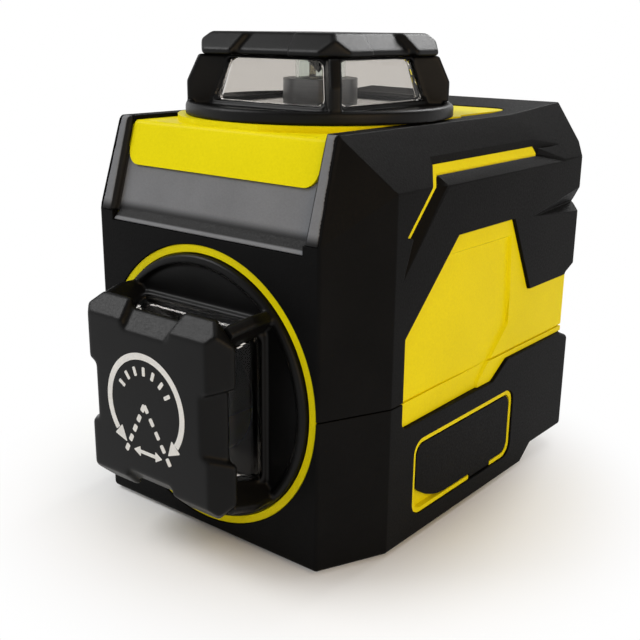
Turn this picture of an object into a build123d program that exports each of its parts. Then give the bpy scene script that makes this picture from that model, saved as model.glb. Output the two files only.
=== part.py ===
from build123d import *
from math import sqrt
import os

os.makedirs("parts", exist_ok=True)

# Case envelope: origin on the tripod axis at table level, front towards -Y, top turret above the origin
case_width = 82.0
front_spread = 1.0
axis_to_front = 41.4
axis_to_rear = 65.8
flare_length = 16.4
rear_chamfer = 3.0
deck_z = 95.0
deck_width = 65.4
shoulder_drop = 12.0
slope_start_z = 73.5
slope_setback = 6.6
rear_rise = 1.6
rise_start_y = 36.0
table_gap = 0.6
step_start = 39.4
step_run = 5.4
step_z = 4.6
groove_y = 58.4
groove_low_z = 34.0
groove_high_z = 50.8
groove_flank = 3.0
belt_y = 59.7
parting_z = 36.1
armor_t = 1.8
armor_gap = 0.2
wall_t = 2.2
edge_round = 1.2
notch_z = 69.9
notch_depth = 3.5
notch_rise = 1.5
notch_fall = 0.6
notch_start_y = 36.0
through = 200.0
fit = 0.15
screw_fit = 0.05

# Side panel, shoulder trough and bumper edge, seen from the side
panel_front_y = -20.3
panel_low_z = 29.7
panel_knee_z = 50.9
panel_top_z = 70.8
panel_top_front_y = 0.1
panel_top_rear_y = 26.4
panel_notch_y = 37.4
panel_step_front_y = 20.5
panel_step_rear_y = 27.7
panel_corner_r = 1.8
panel_rise = 0.9
dish_depth = 0.8
dish_draft = 40.0
dish_top_z = 66.0
dish_rear_y = 26.2
dish_waist_y = 28.0
dish_waist_z = 44.0
dish_toe_y = 13.5
dish_toe_z = 31.4
seam_width = 0.6
seam_depth = 0.7
trough_inset = 2.5
trough_width = 1.5
trough_sink = 1.56
trough_front_y = -8.0
trough_rear_y = 40.5
trough_ramp = 12.5
leg_tip_y = -20.8
leg_tip_z = 73.4
leg_tip_width = 2.1
leg_top_rise = 2.0
bumper_tip_y = -22.0
bumper_tip_z = 64.2

# Front slope, yellow block and deck collar
slope_frame_half = 29.2
shelf_z = 71.2
trim_t = 0.7
trim_sink = 0.2
trim_lap = 1.0
trim_gap = 0.05
rail_margin = 0.5
rail_bevel = 0.9
shelf_fold = 0.9
block_half = 28.7
block_low_z = 84.1
block_rise = 0.3
block_deck_z = 94.0
block_corner_r = 3.5
block_edge_r = 1.2
plinth_r = 34.2
plinth_z = 95.3
plinth_rear_y = 46.0
plinth_rear_half = 27.0
plinth_corner_r = 5.0

# Turrets, measured from the seat along the turret axis
top_flange_r = 32.3
front_flange_r = 31.0
flange_t = 3.0
rim_width = 2.1
rim_round = 1.0
ledge_depth = 0.8
turret_bore_r = 15.0
post_t = 2.9
post_inset = 0.5
post_knee_h = 7.7
post_top_r = 28.9
post_round = 0.8
bezel_t = 1.5
view_low_margin = 3.2
view_top_margin = 2.6
view_rise = 1.3
view_drop = 0.8
view_corner_r = 1.6
pad_gap = 0.1
pad_set_back = 0.2
pane_low_half = 18.5
pane_low_corner = 24.7
pane_top_half = 15.4
pane_top_corner = 20.5
pane_t = 1.4
cap_seat_h = 13.8
cap_chamfer_h = 15.0
turret_h = 19.0
cap_half = 22.4
cap_top_half = 18.4
cap_corner = 28.2
cap_notch_depth = 2.1
cap_notch_half = 6.5
cap_notch_flare = 2.0
cap_round = 0.8
cap_pocket_half = 14.0
cap_pocket_h = 17.2
gasket_in_r = 28.4
gasket_out_r = 30.0
gasket_t = 0.6
collar_t = 1.7
collar_recess = 0.3
turret_screw_r = 1.2
turret_screw_circle = 26.0
turret_screw_depth = 6.5
turret_head_r = 2.2
turret_head_h = 1.6

# Laser modules, measured from the seat of the turret they shine into
barrel_r = 8.5
nose_h = 8.1
lens_r = 4.0
lens_t = 2.0
lens_sink = 0.5
tube_r = 5.6
tube_t = 0.8
cone_base_h = 13.9
cone_r = 4.6
cone_cap_t = 1.4
forward_barrel_end_y = 4.0

# Pendulum and gimbal
pivot_z = 56.0
hanger_half = 9.0
hanger_height = 12.0
barrel_foot_z = 63.0
collar_ring_r = 11.0
collar_ring_h = 6.0
stem_half_x = 6.0
stem_half_y = 7.0
holder_r = 10.3
holder_front_y = -16.0
holder_rear_y = 6.0
tail_half = 7.0
tail_low_z = 30.5
tail_high_z = 41.0
tail_rear_y = 28.0
weight_r = 9.0
weight_length = 7.5
weight_edge = 0.6
damper_t = 1.5
damper_half = 12.0
damper_length = 16.0
magnet_r = 5.0
magnet_t = 2.5
magnet_x = 6.0
ring_inner_half = 11.0
ring_outer_half = 15.0
ring_height = 8.0
pin_r = 1.5
pin_gap = 0.05
bearing_r = 3.2
bearing_w = 3.0
trim_screw_r = 1.6
trim_screw_length = 5.0

# Chassis
upright_x = 22.0
upright_t = 4.0
upright_half_y = 8.0
chassis_top_z = 66.0
top_plate_t = 3.0
top_plate_half_y = 20.0
top_plate_bore_r = 16.0
foot_width = 14.0
foot_t = 2.4
chassis_screw_r = 1.1
chassis_screw_depth = 1.6
chassis_screw_pitch = 9.4
chassis_head_r = 2.0
chassis_head_h = 1.4

# Battery bay and flap
bay_front_y = -6.0
bay_rear_y = 30.0
bay_low_z = 10.2
bay_high_z = 21.9
bay_end_x = -14.5
bay_wall = 2.0
pack_clear = 0.4
pack_recess = 5.4
pack_round = 1.6
contact_t = 1.1
flap_hole_front_y = -14.8
flap_hole_rear_y = 32.2
flap_hole_low_z = 5.8
flap_hole_high_z = 25.0
flap_hole_r = 3.6
flap_gap = 1.5
flap_lift = 0.2
flap_sink = 0.4
lip_rise = 1.3
lip_clear = 0.3
scoop_rise = 5.6
scoop_run = 13.4
plug_depth = 1.6
plug_wall = 1.2
plug_clear = 0.6
hinge_r = 0.45
hinge_lift = 0.3
tab_front_y = 11.8
tab_rear_y = 22.0
socket_width = 9.0
socket_height = 3.4
socket_depth = 7.0
socket_t = 0.4
tongue_width = 5.4
socket_y = 20.0

# Lock slider on the left side
knob_length = 10.0
knob_height = 8.6
knob_rest_y = 14.0
knob_z = 16.0
knob_rib_w = 1.0
knob_rib_depth = 0.6
knob_rib_pitch = 2.4
lock_travel = 9.0
lock_clear = 3.0
stem_length = 5.0
stem_height = 3.4
carriage_t = 1.5
carriage_clear = 0.6
carriage_length = 20.0
carriage_low_z = 9.0
carriage_high_z = 36.0
ramp_length = 16.0
ramp_rise = 4.0
ramp_height = 6.0
ramp_start_y = -4.0
plunger_r = 1.8
plunger_head = 5.0
plunger_z = 33.0
plunger_tip_x = -14.6
plunger_gap = 0.1

# Boards, keypad and buttons on the rear
keypad_half = 23.0
keypad_low_z = 58.0
keypad_high_z = 86.0
keypad_corner_r = 4.0
keypad_t = 1.4
button_r = 5.2
button_pitch = 14.5
button_z = 69.0
button_proud = 0.7
button_flange = 1.0
button_flange_t = 0.8
button_travel = 0.6
button_clear = 0.3
button_back_gap = 0.9
board_t = 1.6
key_board_half = 21.5
key_board_y = 56.0
switch_size = 6.0
switch_height = 3.5
switch_tip_r = 1.7
main_board_gap = 2.5
main_board_low_z = 39.0
main_board_high_z = 84.0
main_board_y = 48.0
board_post_r = 2.6
board_post_inset = 4.0
board_post_low_z = 42.0
board_post_pitch = 6.0
board_screw_r = 1.1
board_head_r = 2.1
board_head_h = 1.3

# Base and case screws
insert_flange_r = 8.0
insert_r = 5.5
insert_top_z = 6.9
thread_r = 3.175
thread_depth = 6.2
pad_r = 5.0
pad_t = 1.2
pad_x = 28.0
pad_front_y = -28.0
pad_rear_y = 30.0
post_side_gap = 9.0
post_front_y = -22.0
post_rear_y = 52.0
post_r = 3.5
post_web_t = 2.0
post_top_z = 60.0
case_screw_r = 1.5
case_screw_top_z = 54.0
case_head_r = 2.8
case_head_h = 2.2
case_head_sink = 1.0

# Places that follow from the sizes above
side_x = case_width / 2
front_width = deck_width + 2 * front_spread
case_x = side_x - armor_t
inner_x = case_x - wall_t
front_y = -axis_to_front
case_front_y = front_y + armor_t
case_rear_y = axis_to_rear - armor_t
inner_rear_y = case_rear_y - wall_t
case_deck_z = deck_z - armor_t
ceiling_z = case_deck_z - wall_t
case_floor_z = table_gap + armor_t
floor_z = case_floor_z + wall_t
case_step_z = step_z + armor_t
slope_rise = deck_z - slope_start_z
shoulder_lean = (side_x - deck_width / 2) / shoulder_drop
slope_length = sqrt(slope_setback**2 + slope_rise**2)
trough_out_x = side_x - trough_inset
trough_in_x = trough_out_x - trough_width
trough_low_z = deck_z - shoulder_drop + trough_inset / shoulder_lean - trough_sink
leg_top_z = trough_low_z + leg_top_rise
pack_end_x = side_x - pack_recess
post_x = side_x - post_side_gap
main_board_half = post_x - post_r - main_board_gap
board_post_x = main_board_half - board_post_inset
bay_roof_z = bay_high_z + bay_wall
bay_mid_y = (bay_front_y + bay_rear_y) / 2
bay_mid_z = (bay_low_z + bay_high_z) / 2
flap_hole_mid_y = (flap_hole_front_y + flap_hole_rear_y) / 2
flap_hole_mid_z = (flap_hole_low_z + flap_hole_high_z) / 2
flap_hole_length = flap_hole_rear_y - flap_hole_front_y
flap_hole_height = flap_hole_high_z - flap_hole_low_z
view_low_half = pane_low_half - view_low_margin
view_top_half = pane_top_half - view_top_margin
view_low_h = flange_t - ledge_depth + view_rise
view_top_h = cap_seat_h - view_drop
post_turns = (45, 135, 225, 315)
side_turns = (0, 90, 180, 270)
collar_in_r = front_flange_r + fit * 2
collar_out_r = collar_in_r + collar_t
parting = Plane.XY.offset(parting_z)
top_seat = Plane((0, 0, plinth_z))
front_seat = Plane((0, case_front_y, parting_z), x_dir=(1, 0, 0), z_dir=(0, -1, 0))


def slope_y(z, inset):
    # Where the front slope, drawn in by inset, stands at height z
    return front_y + ((z - slope_start_z) * slope_setback + inset * slope_length) / slope_rise


def clear_of_crease(edge):
    # True for an edge that doesn't end at the crease in the deck
    return all(abs(vertex.Y - rise_start_y) > fit for vertex in edge.vertices())


def bumper_notches(inset):
    # V notch that deepens towards the rear corner of each side bumper
    with BuildPart() as notch:
        for y, depth in ((notch_start_y, 0.0), (axis_to_rear + inset, notch_depth)):
            apex_x = side_x - depth - inset * sqrt(2)
            mouth = side_x + armor_t - apex_x
            with BuildSketch(Plane.XZ.offset(-y)):
                with BuildLine():
                    Polyline(
                        (apex_x, notch_z),
                        (apex_x + mouth, notch_z + mouth * notch_rise),
                        (apex_x + mouth, notch_z - mouth * notch_fall),
                        close=True,
                    )
                make_face()
        loft(ruled=True)
        mirror(about=Plane.YZ)
    return notch.part


def envelope(inset, rounding=0.0):
    # Plan, front and side outlines crossed into one form, drawn in by inset on every face
    with BuildPart() as form:
        with BuildSketch(Plane.XY):
            with BuildLine():
                Polyline(
                    (0, front_y),
                    (front_width / 2, front_y),
                    (side_x, front_y + flare_length),
                    (side_x, axis_to_rear - rear_chamfer),
                    (side_x - rear_chamfer, axis_to_rear),
                    (0, axis_to_rear),
                )
                mirror(about=Plane.YZ)
            make_face()
            if inset:
                offset(amount=-inset, kind=Kind.INTERSECTION)
        extrude(amount=through)
        with BuildSketch(Plane.XZ):
            with BuildLine():
                Polyline(
                    (0, table_gap),
                    (side_x, table_gap),
                    (side_x, deck_z - shoulder_drop),
                    (deck_width / 2 - rear_rise * shoulder_lean, deck_z + rear_rise),
                    (0, deck_z + rear_rise),
                )
                mirror(about=Plane.YZ)
            make_face()
            if inset:
                offset(amount=-inset, kind=Kind.INTERSECTION)
        extrude(amount=through, both=True, mode=Mode.INTERSECT)
        with BuildSketch(Plane.YZ):
            with BuildLine():
                Polyline(
                    (front_y, table_gap),
                    (step_start, table_gap),
                    (step_start + step_run, step_z),
                    (axis_to_rear, step_z),
                    (axis_to_rear, groove_low_z - groove_flank),
                    (groove_y, groove_low_z),
                    (groove_y, groove_high_z),
                    (axis_to_rear, groove_high_z + groove_flank),
                    (axis_to_rear, deck_z + rear_rise),
                    (rise_start_y, deck_z),
                    (front_y + slope_setback, deck_z),
                    (front_y, slope_start_z),
                    close=True,
                )
            make_face()
            if inset:
                offset(amount=-inset, kind=Kind.INTERSECTION)
        extrude(amount=through, both=True, mode=Mode.INTERSECT)
        if rounding:
            fillet(form.edges().filter_by(clear_of_crease), radius=rounding)
        # leaning facet between the slope and each shoulder
        for side in (-1, 1):
            foot = Vector(side * front_width / 2, front_y, slope_start_z)
            top = Vector(side * deck_width / 2, front_y + slope_setback, deck_z)
            back = Vector(side * side_x, front_y + flare_length, deck_z - shoulder_drop)
            with BuildSketch(Plane(foot, z_dir=(back - foot).cross(top - foot) * side).offset(-inset)):
                Rectangle(through, through)
            extrude(amount=through, mode=Mode.SUBTRACT)
        add(bumper_notches(inset), mode=Mode.SUBTRACT)
    return form.part


def save(builder, name):
    builder.part.label = name
    export_step(builder.part, f"parts/{name}.step")


def panel_face(gap):
    # Yellow side panel, carried round the rear in the groove
    with BuildSketch(Plane.YZ) as face:
        with BuildLine():
            Polyline(
                (panel_front_y, panel_low_z),
                (panel_front_y, panel_knee_z),
                (panel_top_front_y, panel_top_z),
                (panel_top_rear_y, panel_top_z),
                (panel_notch_y, groove_high_z),
                (through, groove_high_z),
                (through, groove_low_z),
                (panel_step_rear_y, groove_low_z),
                (panel_step_front_y, panel_low_z),
                close=True,
            )
        make_face()
        fillet(face.vertices().filter_by_position(Axis.Y, panel_front_y, panel_notch_y), panel_corner_r)
        if gap:
            offset(amount=-gap, kind=Kind.INTERSECTION)
    return face.sketch


def stripe_face(gap):
    # Straight yellow stripe along the shoulder, seen from above
    with BuildSketch(Plane.XY.offset(bumper_tip_z)) as face:
        with Locations((trough_in_x + gap, trough_front_y)):
            Rectangle(
                trough_out_x - trough_in_x - 2 * gap,
                trough_rear_y - trough_front_y - gap,
                align=(Align.MIN, Align.MIN),
            )
        fillet(face.vertices().group_by(Axis.Y)[-1], trough_width / 2 - 2 * fit)
    return face.sketch


def leg_face(gap):
    # Tapering yellow leg from the front end of the stripe, seen from the side
    with BuildSketch(Plane.YZ.offset(inner_x)) as face:
        with BuildLine():
            Polyline(
                (trough_front_y + leg_tip_width / 2, trough_low_z),
                (leg_tip_y + leg_tip_width, leg_tip_z - leg_tip_width / 4),
                (leg_tip_y, leg_tip_z),
                (trough_front_y, leg_top_z),
                (trough_front_y + leg_tip_width / 2, leg_top_z),
                close=True,
            )
        make_face()
        if gap:
            offset(amount=-gap, kind=Kind.INTERSECTION)
    return face.sketch


def plinth_face(gap):
    # Yellow seat of the top turret, run back along the deck
    with BuildSketch(Plane.XY) as face:
        Rectangle(2 * plinth_rear_half, plinth_rear_y, align=(Align.CENTER, Align.MIN))
        fillet(face.vertices().group_by(Axis.Y)[-1], plinth_corner_r)
        Circle(plinth_r)
        Rectangle(2 * block_half, through, mode=Mode.INTERSECT)
        if gap:
            offset(amount=gap, kind=Kind.INTERSECTION)
    return face.sketch


# Surface of the raised yellow areas, and the cutters that open one side of the armour over them
raised_form = envelope(armor_t - panel_rise)
with BuildPart() as trough_ramp_cut:
    with BuildSketch(Plane.XY.offset(bumper_tip_z)):
        with BuildLine():
            Polyline(
                (trough_in_x, trough_rear_y - trough_width / 2),
                (trough_in_x, trough_rear_y),
                (trough_out_x, trough_rear_y + trough_ramp),
                (trough_out_x, trough_rear_y - trough_width / 2),
                close=True,
            )
        make_face()
    extrude(amount=through)
    add(raised_form, mode=Mode.SUBTRACT)

with BuildPart() as side_cuts:
    extrude(stripe_face(0), amount=through)
    extrude(leg_face(0), amount=through)
    add(trough_ramp_cut.part)
    # bevelled edge of the bumper
    bevel = side_x + fit - trough_out_x
    with BuildSketch(Plane.YZ.offset(side_x + fit)):
        with BuildLine():
            Polyline(
                (trough_rear_y + trough_ramp, trough_low_z - bevel),
                (trough_front_y + bevel, trough_low_z - bevel),
                (bumper_tip_y, bumper_tip_z),
                (leg_tip_y + leg_tip_width, leg_tip_z - leg_tip_width / 4),
                (trough_front_y + leg_tip_width / 2, trough_low_z),
                (trough_front_y + leg_tip_width / 2, deck_z),
                (trough_rear_y + trough_ramp, deck_z),
                close=True,
            )
        make_face()
    with BuildSketch(Plane.YZ.offset(trough_out_x)):
        with BuildLine():
            Polyline(
                (trough_rear_y, trough_low_z - fit),
                (trough_front_y + leg_tip_width / 2 + fit, trough_low_z - fit),
                (leg_tip_y + leg_tip_width + fit, leg_tip_z - leg_tip_width / 4 - fit),
                (leg_tip_y + leg_tip_width, leg_tip_z - leg_tip_width / 4),
                (trough_front_y + leg_tip_width / 2, trough_low_z),
                (trough_front_y + leg_tip_width / 2, deck_z),
                (trough_rear_y, deck_z),
                close=True,
            )
        make_face()
    loft(ruled=True)

# Black skin over both shells, before it is parted
with BuildPart() as skin:
    add(envelope(0, edge_round))
    add(envelope(armor_t), mode=Mode.SUBTRACT)
    add(side_cuts.part, mode=Mode.SUBTRACT)
    add(side_cuts.part.mirror(Plane.YZ), mode=Mode.SUBTRACT)
    extrude(panel_face(0), amount=through, both=True, mode=Mode.SUBTRACT)
    # opening over the slope, down to the shelf at its foot
    with BuildSketch(Plane.YZ):
        with BuildLine():
            Polyline(
                (front_y - wall_t, shelf_z),
                (slope_y(case_deck_z, armor_t), shelf_z),
                (slope_y(case_deck_z, armor_t), deck_z + wall_t),
                (front_y - wall_t, deck_z + wall_t),
                close=True,
            )
        make_face()
    extrude(amount=slope_frame_half, both=True, mode=Mode.SUBTRACT)
    # deck opening for the collar under the top turret
    with BuildSketch(Plane.XY.offset(ceiling_z)):
        add(plinth_face(fit))
        with Locations((0, front_y / 2)):
            Rectangle(2 * (block_half + fit), axis_to_front)
    extrude(amount=through, mode=Mode.SUBTRACT)
    # round opening for the front turret
    with BuildSketch(front_seat.offset(-wall_t)):
        Circle(collar_out_r + fit)
    extrude(amount=through, mode=Mode.SUBTRACT)
    # rear keypad
    with BuildSketch(Plane.XZ.offset(-inner_rear_y)):
        with Locations((0, (keypad_low_z + keypad_high_z) / 2)):
            RectangleRounded(2 * (keypad_half + fit), keypad_high_z - keypad_low_z + 2 * fit, keypad_corner_r)
    extrude(amount=-through, mode=Mode.SUBTRACT)
    # flap opening on the right, lock opening on the left
    with BuildSketch(Plane.YZ.offset(inner_x)):
        with Locations((flap_hole_mid_y, flap_hole_mid_z)):
            RectangleRounded(flap_hole_length, flap_hole_height, flap_hole_r)
    extrude(amount=through, mode=Mode.SUBTRACT)
    with BuildSketch(Plane.YZ.offset(-inner_x)):
        with Locations((knob_rest_y - lock_travel / 2, knob_z)):
            RectangleRounded(knob_length + lock_travel + lock_clear, knob_height + lock_clear, flap_hole_r)
    extrude(amount=-through, mode=Mode.SUBTRACT)
    # openings in the bottom: tripod insert, screw heads and pad recesses
    with BuildSketch(Plane.XY):
        Circle(insert_flange_r + fit)
        with Locations(*[(x, y) for x in (-post_x, post_x) for y in (post_front_y, post_rear_y)]):
            Circle(case_head_r + fit)
    extrude(amount=case_step_z, mode=Mode.SUBTRACT)
    with BuildSketch(Plane.XY):
        with Locations(*[(x, y) for x in (-pad_x, pad_x) for y in (pad_front_y, pad_rear_y)]):
            Circle(pad_r + fit)
    extrude(amount=pad_t, mode=Mode.SUBTRACT)


def rail_zone(gap):
    # Space beside the slope, out to the creases of the leaning facets and over the edge of the deck
    with BuildPart() as zone:
        with BuildSketch(Plane.XZ.offset(-slope_y(deck_z, 0) - edge_round)):
            with BuildLine():
                Polyline(
                    (slope_frame_half, slope_start_z + gap),
                    (front_width / 2 - rail_margin - gap, slope_start_z + gap),
                    (deck_width / 2 - rail_margin - gap, deck_z),
                    (deck_width / 2 - rail_margin - gap, deck_z + armor_t),
                    (slope_frame_half, deck_z + armor_t),
                    close=True,
                )
            make_face()
            mirror(about=Plane.YZ)
        extrude(amount=through)
    return zone.part


with BuildPart() as upper_armor:
    add(skin.part)
    split(bisect_by=parting.offset(armor_gap / 2), keep=Keep.TOP)
    add(rail_zone(0), mode=Mode.SUBTRACT)
save(upper_armor, "upper_armor")

with BuildPart() as lower_armor:
    add(skin.part)
    split(bisect_by=parting.offset(-armor_gap / 2), keep=Keep.BOTTOM)
save(lower_armor, "lower_armor")


def slope_slab(outer, inner, gap):
    # Part of the slope that the dark panel covers, between two insets
    with BuildPart() as slab:
        low_z = shelf_z + armor_t + gap
        high_z = block_low_z + block_corner_r
        with BuildSketch(Plane.YZ):
            with BuildLine():
                Polyline(
                    (slope_y(low_z, inner), low_z),
                    (slope_y(low_z, outer), low_z),
                    (slope_y(high_z, outer), high_z),
                    (slope_y(high_z, inner), high_z),
                    close=True,
                )
            make_face()
        extrude(amount=slope_frame_half + trim_lap - gap, both=True)
        with BuildSketch(Plane.XZ) as block_front:
            with Locations((0, block_low_z - gap)):
                Rectangle(2 * (block_half + gap), through, align=(Align.CENTER, Align.MIN))
            fillet(block_front.vertices().group_by(Axis.Z)[0], block_corner_r)
        extrude(amount=through, both=True, mode=Mode.SUBTRACT)
    return slab.part


# Raised yellow areas: side panels, belt round the rear, shoulder stripes and their legs
with BuildPart() as raised:
    extrude(panel_face(fit), amount=through, both=True)
    extrude(stripe_face(fit), amount=through)
    extrude(leg_face(fit), amount=through)
    mirror(about=Plane.YZ)
    add(raised_form, mode=Mode.INTERSECT)
    with Locations((0, belt_y, (groove_low_z + groove_high_z) / 2)):
        Box(
            2 * (side_x - armor_t + panel_rise),
            belt_y - panel_notch_y,
            groove_high_z - groove_low_z - 2 * fit,
            align=(Align.CENTER, Align.MAX, Align.CENTER),
        )

# Shallow dish in each side panel, deepest at its rear edge, with a seam along the parting
with BuildPart() as dish:
    panel_x = side_x - armor_t + panel_rise
    with BuildSketch(Plane.YZ.offset(panel_x - dish_depth)) as dish_outline:
        with BuildLine():
            Polyline(
                (panel_front_y, dish_top_z),
                (dish_rear_y, dish_top_z),
                (dish_waist_y, dish_waist_z),
                (dish_toe_y, dish_toe_z),
                (dish_toe_y, 0),
                (panel_front_y, 0),
                close=True,
            )
        make_face()
        fillet(dish_outline.vertices().filter_by_position(Axis.Y, dish_rear_y, dish_waist_y), panel_corner_r)
    extrude(amount=2 * dish_depth, taper=-dish_draft)
    with BuildSketch(Plane.XY):
        with BuildLine():
            Polyline(
                (panel_x, panel_front_y),
                (panel_x - dish_depth, dish_waist_y),
                (panel_x + dish_depth, dish_waist_y),
                close=True,
            )
        make_face()
    extrude(amount=through, mode=Mode.INTERSECT)
    with Locations((panel_x, 0, parting_z)):
        Box(2 * seam_depth, through, seam_width, align=(Align.CENTER, Align.CENTER, Align.MAX))
    mirror(about=Plane.YZ)

# Yellow block on the slope, folded over onto the deck in front of the collar
with BuildPart() as block:
    with BuildSketch(Plane.YZ):
        with BuildLine():
            Polyline(
                (slope_y(block_low_z, armor_t + wall_t / 2), block_low_z),
                (slope_y(block_low_z, armor_t - block_rise), block_low_z),
                (slope_y(block_deck_z, armor_t - block_rise), block_deck_z),
                (-turret_bore_r, block_deck_z),
                (-turret_bore_r, ceiling_z + wall_t / 2),
                (slope_y(ceiling_z + wall_t / 2, armor_t + wall_t / 2), ceiling_z + wall_t / 2),
                close=True,
            )
        make_face()
    extrude(amount=block_half, both=True)
    fillet(block.edges().filter_by(Axis.X).group_by(Axis.Z)[-1].sort_by(Axis.Y)[0], block_edge_r)
    with BuildSketch(Plane.XZ) as block_front:
        with Locations((0, block_low_z)):
            Rectangle(2 * block_half, through, align=(Align.CENTER, Align.MIN))
        fillet(block_front.vertices().group_by(Axis.Z)[0], block_corner_r)
    extrude(amount=through, both=True, mode=Mode.INTERSECT)

# Yellow shell with the features that both halves share, before it is parted
with BuildPart() as shell:
    add(envelope(armor_t))
    add(raised.part)
    add(dish.part, mode=Mode.SUBTRACT)
    add(block.part)
    # collar and seat of the top turret, run forward to the slope block
    with BuildSketch(Plane.XY.offset(ceiling_z)):
        add(plinth_face(0))
        with Locations((0, case_front_y)):
            Rectangle(case_width, 2 * (slope_y(plinth_z, armor_t) - case_front_y), mode=Mode.SUBTRACT)
    extrude(amount=plinth_z - ceiling_z)
    # ring round the front turret
    with BuildSketch(front_seat.offset(-wall_t)):
        Circle(collar_out_r)
        Circle(collar_in_r, mode=Mode.SUBTRACT)
    extrude(amount=wall_t + armor_t - collar_recess)
    add(slope_slab(armor_t, armor_t + trim_sink + trim_t, 0), mode=Mode.SUBTRACT)
    add(envelope(armor_t + wall_t), mode=Mode.SUBTRACT)
    for seat in (top_seat, front_seat):
        with BuildSketch(seat):
            Circle(turret_bore_r)
            with PolarLocations(turret_screw_circle, 4, start_angle=45):
                Circle(turret_screw_r + fit)
        extrude(amount=wall_t + plinth_z - case_deck_z, both=True, mode=Mode.SUBTRACT)

with BuildPart() as upper_case:
    add(shell.part)
    split(bisect_by=parting, keep=Keep.TOP)
    # screw posts with webs to the side walls
    with BuildSketch(parting):
        with Locations(*[(x, y) for x in (-post_x, post_x) for y in (post_front_y, post_rear_y)]):
            Circle(post_r)
        for side in (-1, 1):
            with Locations(*[(side * (post_x + inner_x) / 2, y) for y in (post_front_y, post_rear_y)]):
                Rectangle(inner_x - post_x + wall_t / 2, post_web_t)
    extrude(amount=post_top_z - parting_z)
    with BuildSketch(parting):
        with Locations(*[(x, y) for x in (-post_x, post_x) for y in (post_front_y, post_rear_y)]):
            Circle(case_screw_r + fit)
    extrude(amount=case_screw_top_z - parting_z + fit, mode=Mode.SUBTRACT)
    # posts for the main board on the groove wall, and key openings in the rear wall
    with BuildSketch(Plane.XZ.offset(-(main_board_y + board_t))):
        with Locations((0, board_post_low_z + board_post_pitch / 2)):
            with GridLocations(2 * board_post_x, board_post_pitch, 2, 2):
                Circle(board_post_r)
    extrude(amount=-(groove_y - armor_t - wall_t / 2 - main_board_y - board_t))
    with BuildSketch(Plane.XZ.offset(-(main_board_y + board_t))):
        with Locations((0, board_post_low_z + board_post_pitch / 2)):
            with GridLocations(2 * board_post_x, board_post_pitch, 2, 2):
                Circle(board_screw_r + fit)
    extrude(amount=-board_post_r, mode=Mode.SUBTRACT)
    with BuildSketch(Plane.XZ.offset(-inner_rear_y + wall_t)):
        with Locations((0, button_z)):
            with GridLocations(button_pitch, 0, 3, 1):
                Circle(button_r + button_flange + button_clear)
    extrude(amount=-through, mode=Mode.SUBTRACT)
save(upper_case, "upper_case")

with BuildPart() as lower_case:
    add(shell.part)
    split(bisect_by=parting, keep=Keep.BOTTOM)
    # battery bay, closed at its inner end
    bay_start_x = bay_end_x - bay_wall
    with BuildSketch(Plane.XY.offset(floor_z - wall_t / 2)):
        with Locations((bay_start_x, bay_front_y - bay_wall)):
            Rectangle(
                inner_x + wall_t / 2 - bay_start_x,
                bay_rear_y - bay_front_y + 2 * bay_wall,
                align=(Align.MIN, Align.MIN),
            )
    extrude(amount=bay_roof_z - floor_z + wall_t / 2)
    with BuildSketch(Plane.YZ.offset(bay_end_x)):
        with Locations((bay_mid_y, bay_mid_z)):
            Rectangle(bay_rear_y - bay_front_y, bay_high_z - bay_low_z)
    extrude(amount=through, mode=Mode.SUBTRACT)
    # lip round the flap, open at the hinge tab
    with BuildSketch(Plane.YZ.offset(case_x - wall_t / 2)):
        with Locations((flap_hole_mid_y, flap_hole_mid_z)):
            RectangleRounded(flap_hole_length - 2 * fit, flap_hole_height - 2 * fit, flap_hole_r)
            RectangleRounded(
                flap_hole_length - 2 * (flap_gap - lip_clear),
                flap_hole_height - 2 * (flap_gap - lip_clear),
                flap_hole_r - flap_gap / 2,
                mode=Mode.SUBTRACT,
            )
        with Locations(((tab_front_y + tab_rear_y) / 2, flap_hole_low_z)):
            Rectangle(tab_rear_y - tab_front_y + 2 * lip_clear, 3 * flap_gap, mode=Mode.SUBTRACT)
    extrude(amount=wall_t / 2 + lip_rise)
    # block under the left chassis foot
    with BuildSketch(Plane.XY.offset(floor_z - wall_t / 2)):
        with Locations((bay_start_x + bay_wall / 2, 0)):
            Rectangle(foot_width, 2 * upright_half_y + bay_wall, align=(Align.MAX, Align.CENTER))
    extrude(amount=bay_roof_z - floor_z + wall_t / 2)
    # screw posts
    with BuildSketch(Plane.XY.offset(case_step_z + wall_t / 2)):
        with Locations(*[(x, y) for x in (-post_x, post_x) for y in (post_front_y, post_rear_y)]):
            Circle(post_r)
    extrude(amount=parting_z - case_step_z - wall_t / 2)
    with BuildSketch(Plane.XY.offset(case_floor_z)):
        with Locations(*[(x, post_front_y) for x in (-post_x, post_x)]):
            Circle(post_r)
    extrude(amount=case_step_z)
    with BuildSketch(Plane.XY):
        with Locations(*[(x, y) for x in (-post_x, post_x) for y in (post_front_y, post_rear_y)]):
            Circle(case_screw_r + fit)
    extrude(amount=parting_z, mode=Mode.SUBTRACT)
    for y, bottom in ((post_front_y, case_floor_z), (post_rear_y, case_step_z)):
        with BuildSketch(Plane.XY):
            with Locations((-post_x, y), (post_x, y)):
                Circle(case_head_r + fit)
        extrude(amount=bottom + case_head_sink, mode=Mode.SUBTRACT)
    # seats of the tripod insert and chassis screws, slot of the lock stem
    with BuildSketch(Plane.XY):
        Circle(insert_r)
    extrude(amount=insert_top_z, mode=Mode.SUBTRACT)
    with BuildSketch(Plane.XY.offset(bay_roof_z)):
        with Locations((-upright_x, 0), (upright_x, 0)):
            with GridLocations(chassis_screw_pitch, upright_half_y, 2, 2):
                Circle(chassis_screw_r + fit)
    extrude(amount=-chassis_screw_depth - fit, mode=Mode.SUBTRACT)
    with BuildSketch(Plane.YZ.offset(-inner_x + wall_t)):
        with Locations((knob_rest_y - lock_travel / 2, knob_z)):
            Rectangle(stem_length + lock_travel + 2 * fit, stem_height + 2 * fit)
    extrude(amount=-through, mode=Mode.SUBTRACT)
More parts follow.
